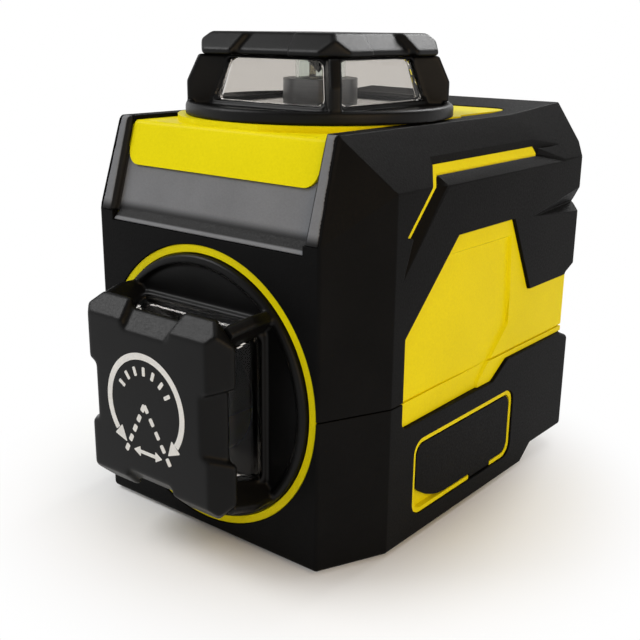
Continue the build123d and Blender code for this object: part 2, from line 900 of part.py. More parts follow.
save(lower_case, "lower_case")

# Dark cover of the slope: sunk panel cut round the yellow block, a rail at each side and a shelf at its foot
trim_face = armor_t + trim_sink
trim_back = trim_face + trim_t
with BuildPart() as slope_rails:
    add(skin.part)
    add(rail_zone(trim_gap), mode=Mode.INTERSECT)
    # bevel along the inner edge of each rail
    with BuildSketch(Plane((0, front_y, slope_start_z), x_dir=(1, 0, 0), z_dir=(0, slope_setback, slope_rise))):
        with BuildLine():
            Polyline(
                (slope_frame_half, rail_bevel),
                (slope_frame_half, -fit),
                (slope_frame_half + rail_bevel + fit, -fit),
                close=True,
            )
        make_face()
        mirror(about=Plane.YZ)
    extrude(amount=through, both=True, mode=Mode.SUBTRACT)

with BuildPart() as slope_trim:
    # roots of the rails
    add(slope_slab(armor_t - trim_t, trim_back, trim_gap))
    split(bisect_by=Plane.XY.offset(slope_start_z + trim_gap), keep=Keep.TOP)
    Box(2 * slope_frame_half, through, through, mode=Mode.SUBTRACT)
    add(slope_slab(trim_face, trim_back, trim_gap))
    add(slope_rails.part)
    low_z = shelf_z + armor_t + trim_gap
    fold_z = low_z + shelf_fold
    with BuildSketch(Plane.YZ):
        with BuildLine():
            Polyline(
                (front_y, shelf_z + trim_gap),
                (slope_y(fold_z, trim_face), fold_z),
                (slope_y(fold_z, trim_back), fold_z),
                (slope_y(low_z, trim_back), low_z),
                (case_front_y - trim_gap, low_z),
                (case_front_y - trim_gap, shelf_z + trim_gap),
                close=True,
            )
        make_face()
    extrude(amount=slope_frame_half - trim_gap, both=True)
save(slope_trim, "slope_trim")


def pane_outline(plane, half, corner):
    # Square with its corners cut at a given distance along the diagonal
    with BuildSketch(plane) as outline:
        Rectangle(2 * half, 2 * half)
        chamfer(outline.vertices(), length=2 * half - corner * sqrt(2))
    return outline.sketch


def pane_stub(seat, margin):
    # Leaning eight-sided form of the window, widened by a margin
    foot = pane_outline(seat.offset(flange_t - ledge_depth), pane_low_half + margin, pane_low_corner + margin)
    head = pane_outline(seat.offset(cap_seat_h), pane_top_half + margin, pane_top_corner + margin)
    with BuildPart() as stub:
        loft([foot, head], ruled=True)
    return stub.part


def view_opening(seat, turn, gap):
    # Rounded view opening on one side of the window, drawn in by a gap
    outward = seat.x_dir.rotate(Axis((0, 0, 0), seat.z_dir), turn)
    with BuildPart() as opening:
        with BuildSketch(Plane(seat.origin, x_dir=seat.z_dir.cross(outward), z_dir=outward)) as view:
            with BuildLine():
                Polyline(
                    (-view_low_half, view_low_h),
                    (view_low_half, view_low_h),
                    (view_top_half, view_top_h),
                    (-view_top_half, view_top_h),
                    close=True,
                )
            make_face()
            fillet(view.vertices(), view_corner_r)
            if gap:
                offset(amount=-gap)
        extrude(amount=pane_low_half + pane_t + bezel_t)
    return opening.part


def window_bezels(seat):
    # Leaning wall in front of the window, opened for the view
    with BuildPart() as bezels:
        add(pane_stub(seat, fit + bezel_t))
        add(pane_stub(seat, fit), mode=Mode.SUBTRACT)
        for turn in side_turns:
            add(view_opening(seat, turn, 0), mode=Mode.SUBTRACT)
    return bezels.part


def window_pad(seat, turn):
    # Thick clear pad that fills one view opening
    with BuildPart() as pad:
        add(view_opening(seat, turn, pad_gap))
        add(pane_stub(seat, fit + bezel_t - pad_set_back), mode=Mode.INTERSECT)
    return pad.part


def height_over(seat, edge):
    # Height of an edge's middle over a turret's seat
    return (edge.center() - seat.origin).dot(seat.z_dir)


def turret_post(seat, turn, flange_r):
    # Upright plate on one diagonal, rounded along its outer edges
    spoke = seat.x_dir.rotate(Axis((0, 0, 0), seat.z_dir), turn)
    floor_h = flange_t - ledge_depth
    with BuildPart() as post:
        with BuildSketch(Plane(seat.origin, x_dir=spoke, z_dir=spoke.cross(seat.z_dir))):
            with BuildLine():
                Polyline(
                    (pane_low_corner + fit, floor_h / 2),
                    (flange_r - post_inset, floor_h / 2),
                    (flange_r - post_inset, post_knee_h),
                    (post_top_r, cap_seat_h),
                    (pane_top_corner + fit, cap_seat_h),
                    (pane_low_corner + fit, floor_h),
                    close=True,
                )
            make_face()
        extrude(amount=post_t / 2, both=True)
        outer = post.edges().filter_by(
            lambda edge: (edge.center() - seat.origin).dot(spoke) > (pane_low_corner + flange_r) / 2
        )
        fillet(outer.filter_by(lambda edge: height_over(seat, edge) < cap_seat_h - fit), post_round)
    return post.part


def turret_frame(seat, flange_r):
    # Round flange with a ledge inside its rim, four posts on the diagonals and bezels round the window
    with BuildPart() as frame:
        with BuildSketch(seat):
            Circle(flange_r)
        extrude(amount=flange_t)
        fillet(frame.edges().sort_by(Axis(seat.origin, seat.z_dir))[-1], rim_round)
        with BuildSketch(seat.offset(flange_t)):
            Circle(flange_r - rim_width)
        extrude(amount=-ledge_depth, mode=Mode.SUBTRACT)
        for turn in post_turns:
            add(turret_post(seat, turn, flange_r))
        with BuildSketch(seat):
            Circle(turret_bore_r)
        extrude(amount=flange_t, mode=Mode.SUBTRACT)
        add(window_bezels(seat))
        with BuildSketch(seat):
            with PolarLocations(turret_screw_circle, 4, start_angle=45):
                Circle(turret_screw_r + screw_fit)
        extrude(amount=turret_screw_depth + fit, mode=Mode.SUBTRACT)
        with BuildSketch(seat):
            Circle(gasket_out_r)
            Circle(gasket_in_r, mode=Mode.SUBTRACT)
        extrude(amount=gasket_t, mode=Mode.SUBTRACT)
    return frame


def turret_window(seat):
    # Clear stub that leans in towards the cap, with a thick pad in each bezel
    with BuildPart() as window:
        add(pane_stub(seat, 0))
        for turn in side_turns:
            add(window_pad(seat, turn))
        add(pane_stub(seat, -pane_t), mode=Mode.SUBTRACT)
    return window


def turret_cap(seat):
    # Square cap with bevelled sides, cut corners and a notch in the middle of each side
    with BuildSketch(Plane.XY) as notch:
        with BuildLine():
            Polyline(
                (-cap_notch_depth, -cap_notch_half),
                (cap_half - cap_top_half, -cap_notch_half - cap_notch_flare),
                (cap_half - cap_top_half, cap_notch_half + cap_notch_flare),
                (-cap_notch_depth, cap_notch_half),
                close=True,
            )
        make_face()
    with BuildPart() as cap:
        for inset in (0, cap_notch_depth):
            with BuildSketch(seat.offset(cap_seat_h)):
                Rectangle(2 * (cap_half - inset), 2 * (cap_half - inset))
            extrude(amount=cap_chamfer_h - cap_seat_h)
            with BuildSketch(seat.offset(cap_chamfer_h)):
                Rectangle(2 * (cap_half - inset), 2 * (cap_half - inset))
            with BuildSketch(seat.offset(turret_h)):
                Rectangle(2 * (cap_top_half - inset), 2 * (cap_top_half - inset))
            loft(ruled=True)
            if not inset:
                with BuildSketch(seat.offset(cap_seat_h)):
                    with PolarLocations(cap_top_half, 4):
                        add(notch.sketch)
                extrude(amount=turret_h, mode=Mode.SUBTRACT)
        with BuildSketch(seat.offset(cap_seat_h)):
            Rectangle(2 * cap_corner, 2 * cap_corner, rotation=45)
        extrude(amount=turret_h, mode=Mode.INTERSECT)
        fillet(cap.edges(), cap_round)
        with BuildSketch(seat.offset(cap_seat_h)):
            Rectangle(2 * cap_pocket_half, 2 * cap_pocket_half)
        extrude(amount=cap_pocket_h - cap_seat_h, mode=Mode.SUBTRACT)
    return cap


def turret_gasket(seat):
    with BuildPart() as gasket:
        with BuildSketch(seat):
            Circle(gasket_out_r - screw_fit)
            Circle(gasket_in_r + screw_fit, mode=Mode.SUBTRACT)
        extrude(amount=gasket_t)
    return gasket


def turret_screws(seat, wall):
    # Four screws driven from inside the case into the posts
    with BuildPart() as screws:
        with BuildSketch(seat.offset(-wall)):
            with PolarLocations(turret_screw_circle, 4, start_angle=45):
                Circle(turret_screw_r)
        extrude(amount=wall + turret_screw_depth)
        with BuildSketch(seat.offset(-wall)):
            with PolarLocations(turret_screw_circle, 4, start_angle=45):
                Circle(turret_head_r)
        extrude(amount=-turret_head_h)
    return screws


for place, seat, wall, flange_r in (
    ("top", top_seat, plinth_z - ceiling_z, top_flange_r),
    ("front", front_seat, wall_t, front_flange_r),
):
    save(turret_frame(seat, flange_r), f"{place}_turret_frame")
    save(turret_window(seat), f"{place}_turret_window")
    save(turret_cap(seat), f"{place}_turret_cap")
    save(turret_gasket(seat), f"{place}_turret_gasket")
    save(turret_screws(seat, wall), f"{place}_turret_screws")


def laser_barrel(seat, depth):
    # Barrel that ends in a nose inside the turret, bored for its lens
    with BuildPart() as barrel:
        with BuildSketch(seat.offset(-depth)):
            Circle(barrel_r)
        extrude(amount=depth + nose_h)
        with BuildSketch(seat.offset(nose_h)):
            Circle(lens_r)
        extrude(amount=-lens_t - lens_sink, mode=Mode.SUBTRACT)
    return barrel


def laser_lens(seat):
    with BuildPart() as lens:
        with BuildSketch(seat.offset(nose_h - lens_sink - lens_t)):
            Circle(lens_r)
        extrude(amount=lens_t)
    return lens


def laser_tube(seat):
    with BuildPart() as tube:
        with BuildSketch(seat.offset(nose_h)):
            Circle(tube_r)
            Circle(tube_r - tube_t, mode=Mode.SUBTRACT)
        extrude(amount=cone_base_h - nose_h)
    return tube


def laser_cone(seat):
    # Mirror cone with its point towards the lens, on a disc that closes the tube
    with BuildPart() as cone:
        with BuildSketch(seat.offset(cone_base_h)):
            Circle(tube_r)
        extrude(amount=cone_cap_t)
        with BuildSketch(Plane(seat.origin, x_dir=seat.x_dir, z_dir=-seat.y_dir)):
            with BuildLine():
                Polyline((0, cone_base_h - cone_r), (cone_r, cone_base_h), (0, cone_base_h), close=True)
            make_face()
        revolve(axis=Axis(seat.origin, seat.z_dir))
    return cone


for place, seat, depth in (
    ("vertical", top_seat, plinth_z - barrel_foot_z),
    ("forward", front_seat, forward_barrel_end_y - case_front_y),
):
    save(laser_barrel(seat, depth), f"{place}_laser")
    save(laser_lens(seat), f"{place}_lens")
    save(laser_tube(seat), f"{place}_tube")
    save(laser_cone(seat), f"{place}_cone")

# Cast pendulum: hanger at the pivot, collar for the upright laser, holder and tail for the forward one
hanger_top_z = pivot_z + hanger_height / 2
with BuildPart() as pendulum:
    with Locations((0, 0, pivot_z)):
        Box(2 * hanger_half, 2 * hanger_half, hanger_height)
    with BuildSketch(Plane.XY.offset(hanger_top_z)):
        Circle(collar_ring_r)
    extrude(amount=collar_ring_h)
    with BuildSketch(Plane.XY.offset(barrel_foot_z)):
        Circle(barrel_r)
    extrude(amount=through, mode=Mode.SUBTRACT)
    with BuildSketch(Plane.XY.offset(parting_z)):
        Rectangle(2 * stem_half_x, 2 * stem_half_y)
    extrude(amount=pivot_z - parting_z)
    with BuildSketch(Plane.XZ.offset(-holder_front_y)):
        with Locations((0, parting_z)):
            Circle(holder_r)
    extrude(amount=-(holder_rear_y - holder_front_y))
    with Locations((0, (holder_rear_y + tail_rear_y) / 2, (tail_low_z + tail_high_z) / 2)):
        Box(2 * tail_half, tail_rear_y - holder_rear_y, tail_high_z - tail_low_z)
    with BuildSketch(Plane.XZ.offset(-forward_barrel_end_y)):
        with Locations((0, parting_z)):
            Circle(barrel_r)
    extrude(amount=through, mode=Mode.SUBTRACT)
    with BuildSketch(Plane.XZ):
        with Locations((0, pivot_z)):
            Circle(pin_r)
    extrude(amount=through, both=True, mode=Mode.SUBTRACT)
    with BuildSketch(Plane.YZ):
        with Locations((tail_rear_y - trim_screw_length, (tail_low_z + tail_high_z) / 2)):
            Circle(trim_screw_r)
    extrude(amount=through, both=True, mode=Mode.SUBTRACT)
save(pendulum, "pendulum")

with BuildPart() as counterweight:
    with BuildSketch(Plane.XZ.offset(-tail_rear_y)):
        with Locations((0, parting_z)):
            Circle(weight_r)
    extrude(amount=-weight_length)
    chamfer(counterweight.edges().filter_by(GeomType.CIRCLE), length=weight_edge)
save(counterweight, "counterweight")

with BuildPart() as balance_screws:
    with BuildSketch(Plane.YZ.offset(tail_half - trim_screw_length + fit)):
        with Locations((tail_rear_y - trim_screw_length, (tail_low_z + tail_high_z) / 2)):
            Circle(trim_screw_r - pin_gap)
    extrude(amount=trim_screw_length)
    mirror(about=Plane.YZ)
save(balance_screws, "balance_screws")

with BuildPart() as damper_plate:
    with Locations((0, tail_rear_y - damper_length / 2, tail_low_z - damper_t / 2)):
        Box(2 * damper_half, damper_length, damper_t)
save(damper_plate, "damper_plate")

with BuildPart() as damper_magnets:
    with BuildSketch(Plane.XY.offset(bay_roof_z)):
        with Locations((0, tail_rear_y - damper_length / 2)):
            with GridLocations(2 * magnet_x, 0, 2, 1):
                Circle(magnet_r)
    extrude(amount=magnet_t)
save(damper_magnets, "damper_magnets")

# Gimbal ring with pins to the chassis along X and bearings for the pendulum along Y
bearing_in = ring_outer_half - bearing_w
with BuildPart() as gimbal_ring:
    with BuildSketch(Plane.XY.offset(pivot_z - ring_height / 2)):
        RectangleRounded(2 * ring_outer_half, 2 * ring_outer_half, ring_outer_half - ring_inner_half)
        Rectangle(2 * ring_inner_half, 2 * ring_inner_half, mode=Mode.SUBTRACT)
    extrude(amount=ring_height)
    with BuildSketch(Plane.YZ):
        with Locations((0, pivot_z)):
            Circle(pin_r)
    extrude(amount=through, both=True, mode=Mode.SUBTRACT)
    with BuildSketch(Plane.XZ):
        with Locations((0, pivot_z)):
            Circle(bearing_r)
    extrude(amount=through, both=True, mode=Mode.SUBTRACT)
save(gimbal_ring, "gimbal_ring")

with BuildPart() as gimbal_pins:
    with BuildSketch(Plane.YZ.offset(ring_inner_half)):
        with Locations((0, pivot_z)):
            Circle(pin_r)
    extrude(amount=upright_x + upright_t / 2 - ring_inner_half)
    mirror(about=Plane.YZ)
save(gimbal_pins, "gimbal_pins")

with BuildPart() as gimbal_bearings:
    with BuildSketch(Plane.XZ.offset(bearing_in)):
        with Locations((0, pivot_z)):
            Circle(bearing_r)
            Circle(pin_r + pin_gap, mode=Mode.SUBTRACT)
    extrude(amount=bearing_w)
    mirror(about=Plane.XZ)
save(gimbal_bearings, "gimbal_bearings")

with BuildPart() as pendulum_pins:
    with BuildSketch(Plane.XZ.offset(stem_half_y)):
        with Locations((0, pivot_z)):
            Circle(pin_r)
    extrude(amount=ring_outer_half - stem_half_y)
    mirror(about=Plane.XZ)
save(pendulum_pins, "pendulum_pins")

# Fixed stand: two uprights on feet, tied by a pierced top plate
with BuildPart() as chassis:
    for height, width in ((chassis_top_z - bay_roof_z, upright_t), (foot_t, foot_width)):
        with BuildSketch(Plane.XY.offset(bay_roof_z)):
            with GridLocations(2 * upright_x, 0, 2, 1):
                Rectangle(width, 2 * upright_half_y)
        extrude(amount=height)
    with BuildSketch(Plane.XY.offset(chassis_top_z - top_plate_t)):
        Rectangle(2 * upright_x + upright_t, 2 * top_plate_half_y)
        Circle(top_plate_bore_r, mode=Mode.SUBTRACT)
    extrude(amount=top_plate_t)
    with BuildSketch(Plane.YZ):
        with Locations((0, pivot_z)):
            Circle(bearing_r)
    extrude(amount=through, both=True, mode=Mode.SUBTRACT)
    with BuildSketch(Plane.YZ):
        with Locations((0, plunger_z)):
            Circle(plunger_r + plunger_gap)
    extrude(amount=-through, mode=Mode.SUBTRACT)
    with BuildSketch(Plane.XY.offset(bay_roof_z)):
        with Locations((-upright_x, 0), (upright_x, 0)):
            with GridLocations(chassis_screw_pitch, upright_half_y, 2, 2):
                Circle(chassis_screw_r + fit)
    extrude(amount=foot_t, mode=Mode.SUBTRACT)
save(chassis, "chassis")

with BuildPart() as chassis_bearings:
    with BuildSketch(Plane.YZ.offset(upright_x + upright_t / 2 - bearing_w)):
        with Locations((0, pivot_z)):
            Circle(bearing_r)
            Circle(pin_r + pin_gap, mode=Mode.SUBTRACT)
    extrude(amount=bearing_w)
    mirror(about=Plane.YZ)
save(chassis_bearings, "chassis_bearings")

with BuildPart() as chassis_screws:
    with BuildSketch(Plane.XY.offset(bay_roof_z - chassis_screw_depth)):
        with Locations((-upright_x, 0), (upright_x, 0)):
            with GridLocations(chassis_screw_pitch, upright_half_y, 2, 2):
                Circle(chassis_screw_r)
    extrude(amount=chassis_screw_depth + foot_t)
    with BuildSketch(Plane.XY.offset(bay_roof_z + foot_t)):
        with Locations((-upright_x, 0), (upright_x, 0)):
            with GridLocations(chassis_screw_pitch, upright_half_y, 2, 2):
                Circle(chassis_head_r)
    extrude(amount=chassis_head_h)
save(chassis_screws, "chassis_screws")

# Lock: ribbed knob outside, stem through the wall, carriage with a ramp inside
carriage_x = -inner_x + carriage_clear
ramp_x = carriage_x + carriage_t
with BuildPart() as lock_slider:
    with BuildSketch(Plane.YZ.offset(-case_x - flap_lift)):
        with Locations((knob_rest_y, knob_z)):
            RectangleRounded(knob_length, knob_height, knob_rib_w)
    extrude(amount=-(armor_t - flap_lift))
    with BuildSketch(Plane.YZ.offset(-side_x)):
        with Locations((knob_rest_y, knob_z)):
            with GridLocations(knob_rib_pitch, 0, 3, 1):
                Rectangle(knob_rib_w, knob_height)
    extrude(amount=knob_rib_depth, mode=Mode.SUBTRACT)
    with BuildSketch(Plane.YZ.offset(-case_x - flap_lift)):
        with Locations((knob_rest_y, knob_z)):
            Rectangle(stem_length, stem_height)
    extrude(amount=ramp_x + case_x + flap_lift)
    with BuildSketch(Plane.YZ.offset(carriage_x)):
        with Locations((ramp_start_y + ramp_length / 2 + 2 * fit, (carriage_low_z + carriage_high_z) / 2)):
            Rectangle(carriage_length, carriage_high_z - carriage_low_z)
    extrude(amount=carriage_t)
    with BuildSketch(Plane.XY.offset(plunger_z - ramp_height / 2)):
        with BuildLine():
            Polyline(
                (ramp_x, ramp_start_y),
                (ramp_x + ramp_rise, ramp_start_y + ramp_length),
                (ramp_x, ramp_start_y + ramp_length),
                close=True,
            )
        make_face()
    extrude(amount=ramp_height)
save(lock_slider, "lock_slider")

# Plunger with a slanted head that follows the ramp, guided in the left upright
with BuildPart() as lock_plunger:
    slope = ramp_rise / ramp_length
    with BuildSketch(Plane.XY.offset(plunger_z - plunger_head / 2)):
        with BuildLine():
            Polyline(
                (ramp_x + plunger_gap + slope * (-plunger_head / 2 - ramp_start_y), -plunger_head / 2),
                (ramp_x + plunger_gap + slope * (plunger_head / 2 - ramp_start_y), plunger_head / 2),
                (ramp_x + ramp_rise, plunger_head / 2),
                (ramp_x + ramp_rise, -plunger_head / 2),
                close=True,
            )
        make_face()
    extrude(amount=plunger_head)
    with BuildSketch(Plane.YZ.offset(ramp_x + ramp_rise)):
        with Locations((0, plunger_z)):
            Circle(plunger_r)
    extrude(amount=plunger_tip_x - ramp_x - ramp_rise)
save(lock_plunger, "lock_plunger")

# Battery pack with its charging socket, contacts at the inner end of the bay
pack_start_x = bay_end_x + contact_t
with BuildPart() as battery_pack:
    with BuildSketch(Plane.YZ.offset(pack_start_x)):
        with Locations((bay_mid_y, bay_mid_z)):
            RectangleRounded(
                bay_rear_y - bay_front_y - 2 * pack_clear, bay_high_z - bay_low_z - 2 * pack_clear, pack_round
            )
    extrude(amount=pack_end_x - pack_start_x)
    with BuildSketch(Plane.YZ.offset(pack_end_x)):
        with Locations((socket_y, bay_mid_z)):
            SlotOverall(socket_width, socket_height)
    extrude(amount=-socket_depth, mode=Mode.SUBTRACT)
save(battery_pack, "battery_pack")

with BuildPart() as charge_socket:
    with BuildSketch(Plane.YZ.offset(pack_end_x)):
        with Locations((socket_y, bay_mid_z)):
            SlotOverall(socket_width - fit, socket_height - fit)
    extrude(amount=-socket_depth)
    with BuildSketch(Plane.YZ.offset(pack_end_x)):
        with Locations((socket_y, bay_mid_z)):
            SlotOverall(socket_width - fit - 2 * socket_t, socket_height - fit - 2 * socket_t)
            Rectangle(tongue_width, 2 * socket_t, mode=Mode.SUBTRACT)
    extrude(amount=-socket_depth + 2 * socket_t, mode=Mode.SUBTRACT)
save(charge_socket, "charge_socket")

with BuildPart() as battery_contacts:
    with BuildSketch(Plane.YZ.offset(bay_end_x)):
        with Locations((bay_mid_y, bay_mid_z)):
            with GridLocations((bay_rear_y - bay_front_y) / 2, 0, 2, 1):
                RectangleRounded(socket_width, socket_width, pack_round)
    extrude(amount=contact_t)
save(battery_contacts, "battery_contacts")

# Rubber flap: face with a scooped corner, plug rim behind, hinge tab at its lower edge
flap_front_y = flap_hole_front_y + flap_gap
flap_rear_y = flap_hole_rear_y - flap_gap
flap_low_z = flap_hole_low_z + flap_gap
flap_high_z = flap_hole_high_z - flap_gap
hinge_x = side_x - flap_sink - hinge_r
hinge_z = flap_hole_low_z + hinge_lift + hinge_r
with BuildPart() as port_flap:
    with BuildSketch(Plane.YZ.offset(case_x + flap_lift)):
        with Locations((flap_hole_mid_y, flap_hole_mid_z)):
            RectangleRounded(flap_rear_y - flap_front_y, flap_high_z - flap_low_z, flap_hole_r - flap_gap / 2)
        with BuildLine():
            Polyline(
                (flap_front_y + scoop_run, flap_low_z),
                (flap_front_y - flap_gap, flap_low_z),
                (flap_front_y - flap_gap, flap_low_z + scoop_rise),
                (flap_front_y, flap_low_z + scoop_rise),
            )
            ThreePointArc(
                (flap_front_y, flap_low_z + scoop_rise),
                (flap_front_y + scoop_run / 2, flap_low_z + scoop_rise / 4),
                (flap_front_y + scoop_run, flap_low_z),
            )
        make_face(mode=Mode.SUBTRACT)
    extrude(amount=armor_t - flap_lift - flap_sink)
    with BuildSketch(Plane.YZ.offset(case_x + flap_lift)):
        with Locations((bay_mid_y, bay_mid_z)):
            Rectangle(bay_rear_y - bay_front_y - 2 * plug_clear, bay_high_z - bay_low_z - 2 * plug_clear)
            Rectangle(
                bay_rear_y - bay_front_y - 2 * plug_clear - 2 * plug_wall,
                bay_high_z - bay_low_z - 2 * plug_clear - 2 * plug_wall,
                mode=Mode.SUBTRACT,
            )
    extrude(amount=-plug_depth)
    with BuildSketch(Plane.XZ.offset(-tab_front_y)):
        with Locations((hinge_x, hinge_z)):
            Circle(hinge_r)
        with Locations((hinge_x, (hinge_z + flap_low_z + hinge_r) / 2)):
            Rectangle(2 * hinge_r, flap_low_z + hinge_r - hinge_z)
    extrude(amount=-(tab_rear_y - tab_front_y))
save(port_flap, "port_flap")

# Boards: key board behind the rear wall with three switches, main board on its posts
key_board_rear_y = key_board_y + board_t
button_back_y = inner_rear_y + button_back_gap
with BuildPart() as key_board:
    with Locations((0, key_board_y + board_t / 2, (keypad_low_z + keypad_high_z) / 2)):
        Box(2 * key_board_half, board_t, keypad_high_z - keypad_low_z)
save(key_board, "key_board")

with BuildPart() as key_switches:
    with BuildSketch(Plane.XZ.offset(-key_board_rear_y)):
        with Locations((0, button_z)):
            with GridLocations(button_pitch, 0, 3, 1):
                RectangleRounded(switch_size, switch_size, fit * 2)
    extrude(amount=-switch_height)
    with BuildSketch(Plane.XZ.offset(-(key_board_rear_y + switch_height))):
        with Locations((0, button_z)):
            with GridLocations(button_pitch, 0, 3, 1):
                Circle(switch_tip_r)
    extrude(amount=-(button_back_y - button_travel - fit - key_board_rear_y - switch_height))
save(key_switches, "key_switches")

with BuildPart() as main_board:
    with BuildSketch(Plane.XZ.offset(-main_board_y)):
        with Locations((0, (main_board_low_z + main_board_high_z) / 2)):
            Rectangle(2 * main_board_half, main_board_high_z - main_board_low_z)
        with Locations((0, board_post_low_z + board_post_pitch / 2)):
            with GridLocations(2 * board_post_x, board_post_pitch, 2, 2):
                Circle(board_screw_r + fit, mode=Mode.SUBTRACT)
    extrude(amount=-board_t)
save(main_board, "main_board")

with BuildPart() as board_screws:
    with BuildSketch(Plane.XZ.offset(-main_board_y)):
        with Locations((0, board_post_low_z + board_post_pitch / 2)):
            with GridLocations(2 * board_post_x, board_post_pitch, 2, 2):
                Circle(board_screw_r)
    extrude(amount=-board_t - board_post_r + fit)
    with BuildSketch(Plane.XZ.offset(-main_board_y)):
        with Locations((0, board_post_low_z + board_post_pitch / 2)):
            with GridLocations(2 * board_post_x, board_post_pitch, 2, 2):
                Circle(board_head_r)
    extrude(amount=board_head_h)
save(board_screws, "board_screws")

# Keypad panel flush in the rear armour, with three round buttons held by their flanges
with BuildPart() as keypad_panel:
    with BuildSketch(Plane.XZ.offset(-case_rear_y)):
        with Locations((0, (keypad_low_z + keypad_high_z) / 2)):
            RectangleRounded(2 * keypad_half, keypad_high_z - keypad_low_z, keypad_corner_r)
        with Locations((0, button_z)):
            with GridLocations(button_pitch, 0, 3, 1):
                Circle(button_r + button_clear, mode=Mode.SUBTRACT)
    extrude(amount=-keypad_t)
save(keypad_panel, "keypad_panel")

for index, name in ((-1, "button_power"), (0, "button_horizontal"), (1, "button_vertical")):
    with BuildPart() as button:
        with BuildSketch(Plane.XZ.offset(-button_back_y)):
            with Locations((index * button_pitch, button_z)):
                Circle(button_r + button_flange)
        extrude(amount=-button_flange_t)
        with BuildSketch(Plane.XZ.offset(-button_back_y)):
            with Locations((index * button_pitch, button_z)):
                Circle(button_r)
        extrude(amount=-(case_rear_y + keypad_t + button_proud - button_back_y))
        chamfer(button.faces().sort_by(Axis.Y)[-1].edges(), length=button_clear)
    save(button, name)

# Tripod insert, foot pads and case screws
with BuildPart() as tripod_insert:
    with BuildSketch(Plane.XY):
        Circle(insert_flange_r)
    extrude(amount=case_floor_z)
    with BuildSketch(Plane.XY):
        Circle(insert_r)
    extrude(amount=insert_top_z)
    with BuildSketch(Plane.XY):
        Circle(thread_r)
    extrude(amount=thread_depth, mode=Mode.SUBTRACT)
save(tripod_insert, "tripod_insert")

with BuildPart() as foot_pads:
    with BuildSketch(Plane.XY):
        with Locations(*[(x, y) for x in (-pad_x, pad_x) for y in (pad_front_y, pad_rear_y)]):
            Circle(pad_r)
    extrude(amount=pad_t)
save(foot_pads, "foot_pads")

with BuildPart() as case_screws:
    for y, bottom in ((post_front_y, case_floor_z), (post_rear_y, case_step_z)):
        head_z = bottom + case_head_sink
        with BuildSketch(Plane.XY.offset(head_z)):
            with Locations((-post_x, y), (post_x, y)):
                Circle(case_head_r)
        extrude(amount=-case_head_h)
        with BuildSketch(Plane.XY.offset(head_z)):
            with Locations((-post_x, y), (post_x, y)):
                Circle(case_screw_r)
        extrude(amount=case_screw_top_z - head_z)
save(case_screws, "case_screws")
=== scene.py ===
import bpy
import math
from mathutils import Euler, Matrix, Vector


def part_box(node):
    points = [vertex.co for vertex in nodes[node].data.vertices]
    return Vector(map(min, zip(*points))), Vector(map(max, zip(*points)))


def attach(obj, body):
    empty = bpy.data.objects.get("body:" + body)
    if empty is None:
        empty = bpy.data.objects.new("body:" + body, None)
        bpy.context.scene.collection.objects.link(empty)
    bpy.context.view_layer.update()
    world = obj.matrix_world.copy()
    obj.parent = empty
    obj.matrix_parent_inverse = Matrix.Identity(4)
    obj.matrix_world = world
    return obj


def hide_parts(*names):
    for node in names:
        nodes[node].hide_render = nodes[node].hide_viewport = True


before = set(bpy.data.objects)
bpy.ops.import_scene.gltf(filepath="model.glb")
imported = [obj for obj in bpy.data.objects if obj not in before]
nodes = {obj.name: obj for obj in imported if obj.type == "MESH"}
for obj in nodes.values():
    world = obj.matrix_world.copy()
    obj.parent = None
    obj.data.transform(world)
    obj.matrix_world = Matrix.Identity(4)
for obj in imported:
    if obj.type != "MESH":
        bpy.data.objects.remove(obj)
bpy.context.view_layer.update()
mm = 0.001
mergeReach = 0.002 * mm  # corners of CAD triangles that lie closer than this are one corner
smoothAngle = math.radians(30)
white = (1.0, 1.0, 1.0, 1.0)
print("frame: loaded", len(nodes), "CAD nodes")


# shared helpers

def linear(hexColour):
    channels = [int(hexColour[i:i + 2], 16) / 255 for i in (1, 3, 5)]
    return (*[c / 12.92 if c <= 0.04045 else ((c + 0.055) / 1.055) ** 2.4 for c in channels], 1.0)


def perMetre(sizeMm):
    return 1 / (sizeMm * mm)  # texture scale for a feature of that size


def addNode(tree, kind, settings=None, links=None):
    # a setting goes to the socket of its name, or else to the node. A link gives its socket's name or number
    node = tree.nodes.new(kind)
    for name, value in (settings or {}).items():
        if name in node.inputs:
            node.inputs[name].default_value = value
        else:
            setattr(node, name, value)
    for name, source in (links or {}).items():
        tree.links.new(source, node.inputs[name])
    return node


def startMaterial(name):
    material = bpy.data.materials.new(name)
    material.use_nodes = True
    tree = material.node_tree
    return material, tree, tree.nodes["Principled BSDF"]


def dressShader(tree, shader, even, patterned):
    # what is the same all over sits on the shader's own sockets, and patterns are linked
    for name, value in even.items():
        shader.inputs[name].default_value = value
    for name, source in patterned.items():
        tree.links.new(source, shader.inputs[name])


def wear(nodeNames, material):
    for name in nodeNames:
        mesh = nodes[name].data
        mesh.materials.clear()
        mesh.materials.append(material)


def deselectAll():
    if bpy.context.object and bpy.context.object.mode != "OBJECT":
        bpy.ops.object.mode_set(mode="OBJECT")
    bpy.ops.object.select_all(action="DESELECT")


def pick(pieces):
    deselectAll()
    for piece in pieces:
        piece.select_set(True)
    bpy.context.view_layer.objects.active = pieces[0]


def editAll(piece):
    # opens the piece in edit mode with all of it selected
    pick([piece])
    bpy.ops.object.mode_set(mode="EDIT")
    bpy.ops.mesh.select_all(action="SELECT")


def pickVerts(piece, wanted):
    # selects the vertices whose place passes the test, and stays in edit mode
    pick([piece])
    bpy.ops.object.mode_set(mode="EDIT")
    bpy.ops.mesh.select_mode(type="VERT")
    bpy.ops.mesh.select_all(action="DESELECT")
    bpy.ops.object.mode_set(mode="OBJECT")
    for vert in piece.data.vertices:
        vert.select = wanted(vert.co)
    bpy.ops.object.mode_set(mode="EDIT")


def applyPlace(piece):
    pick([piece])
    bpy.ops.object.transform_apply(location=True, rotation=True, scale=True)


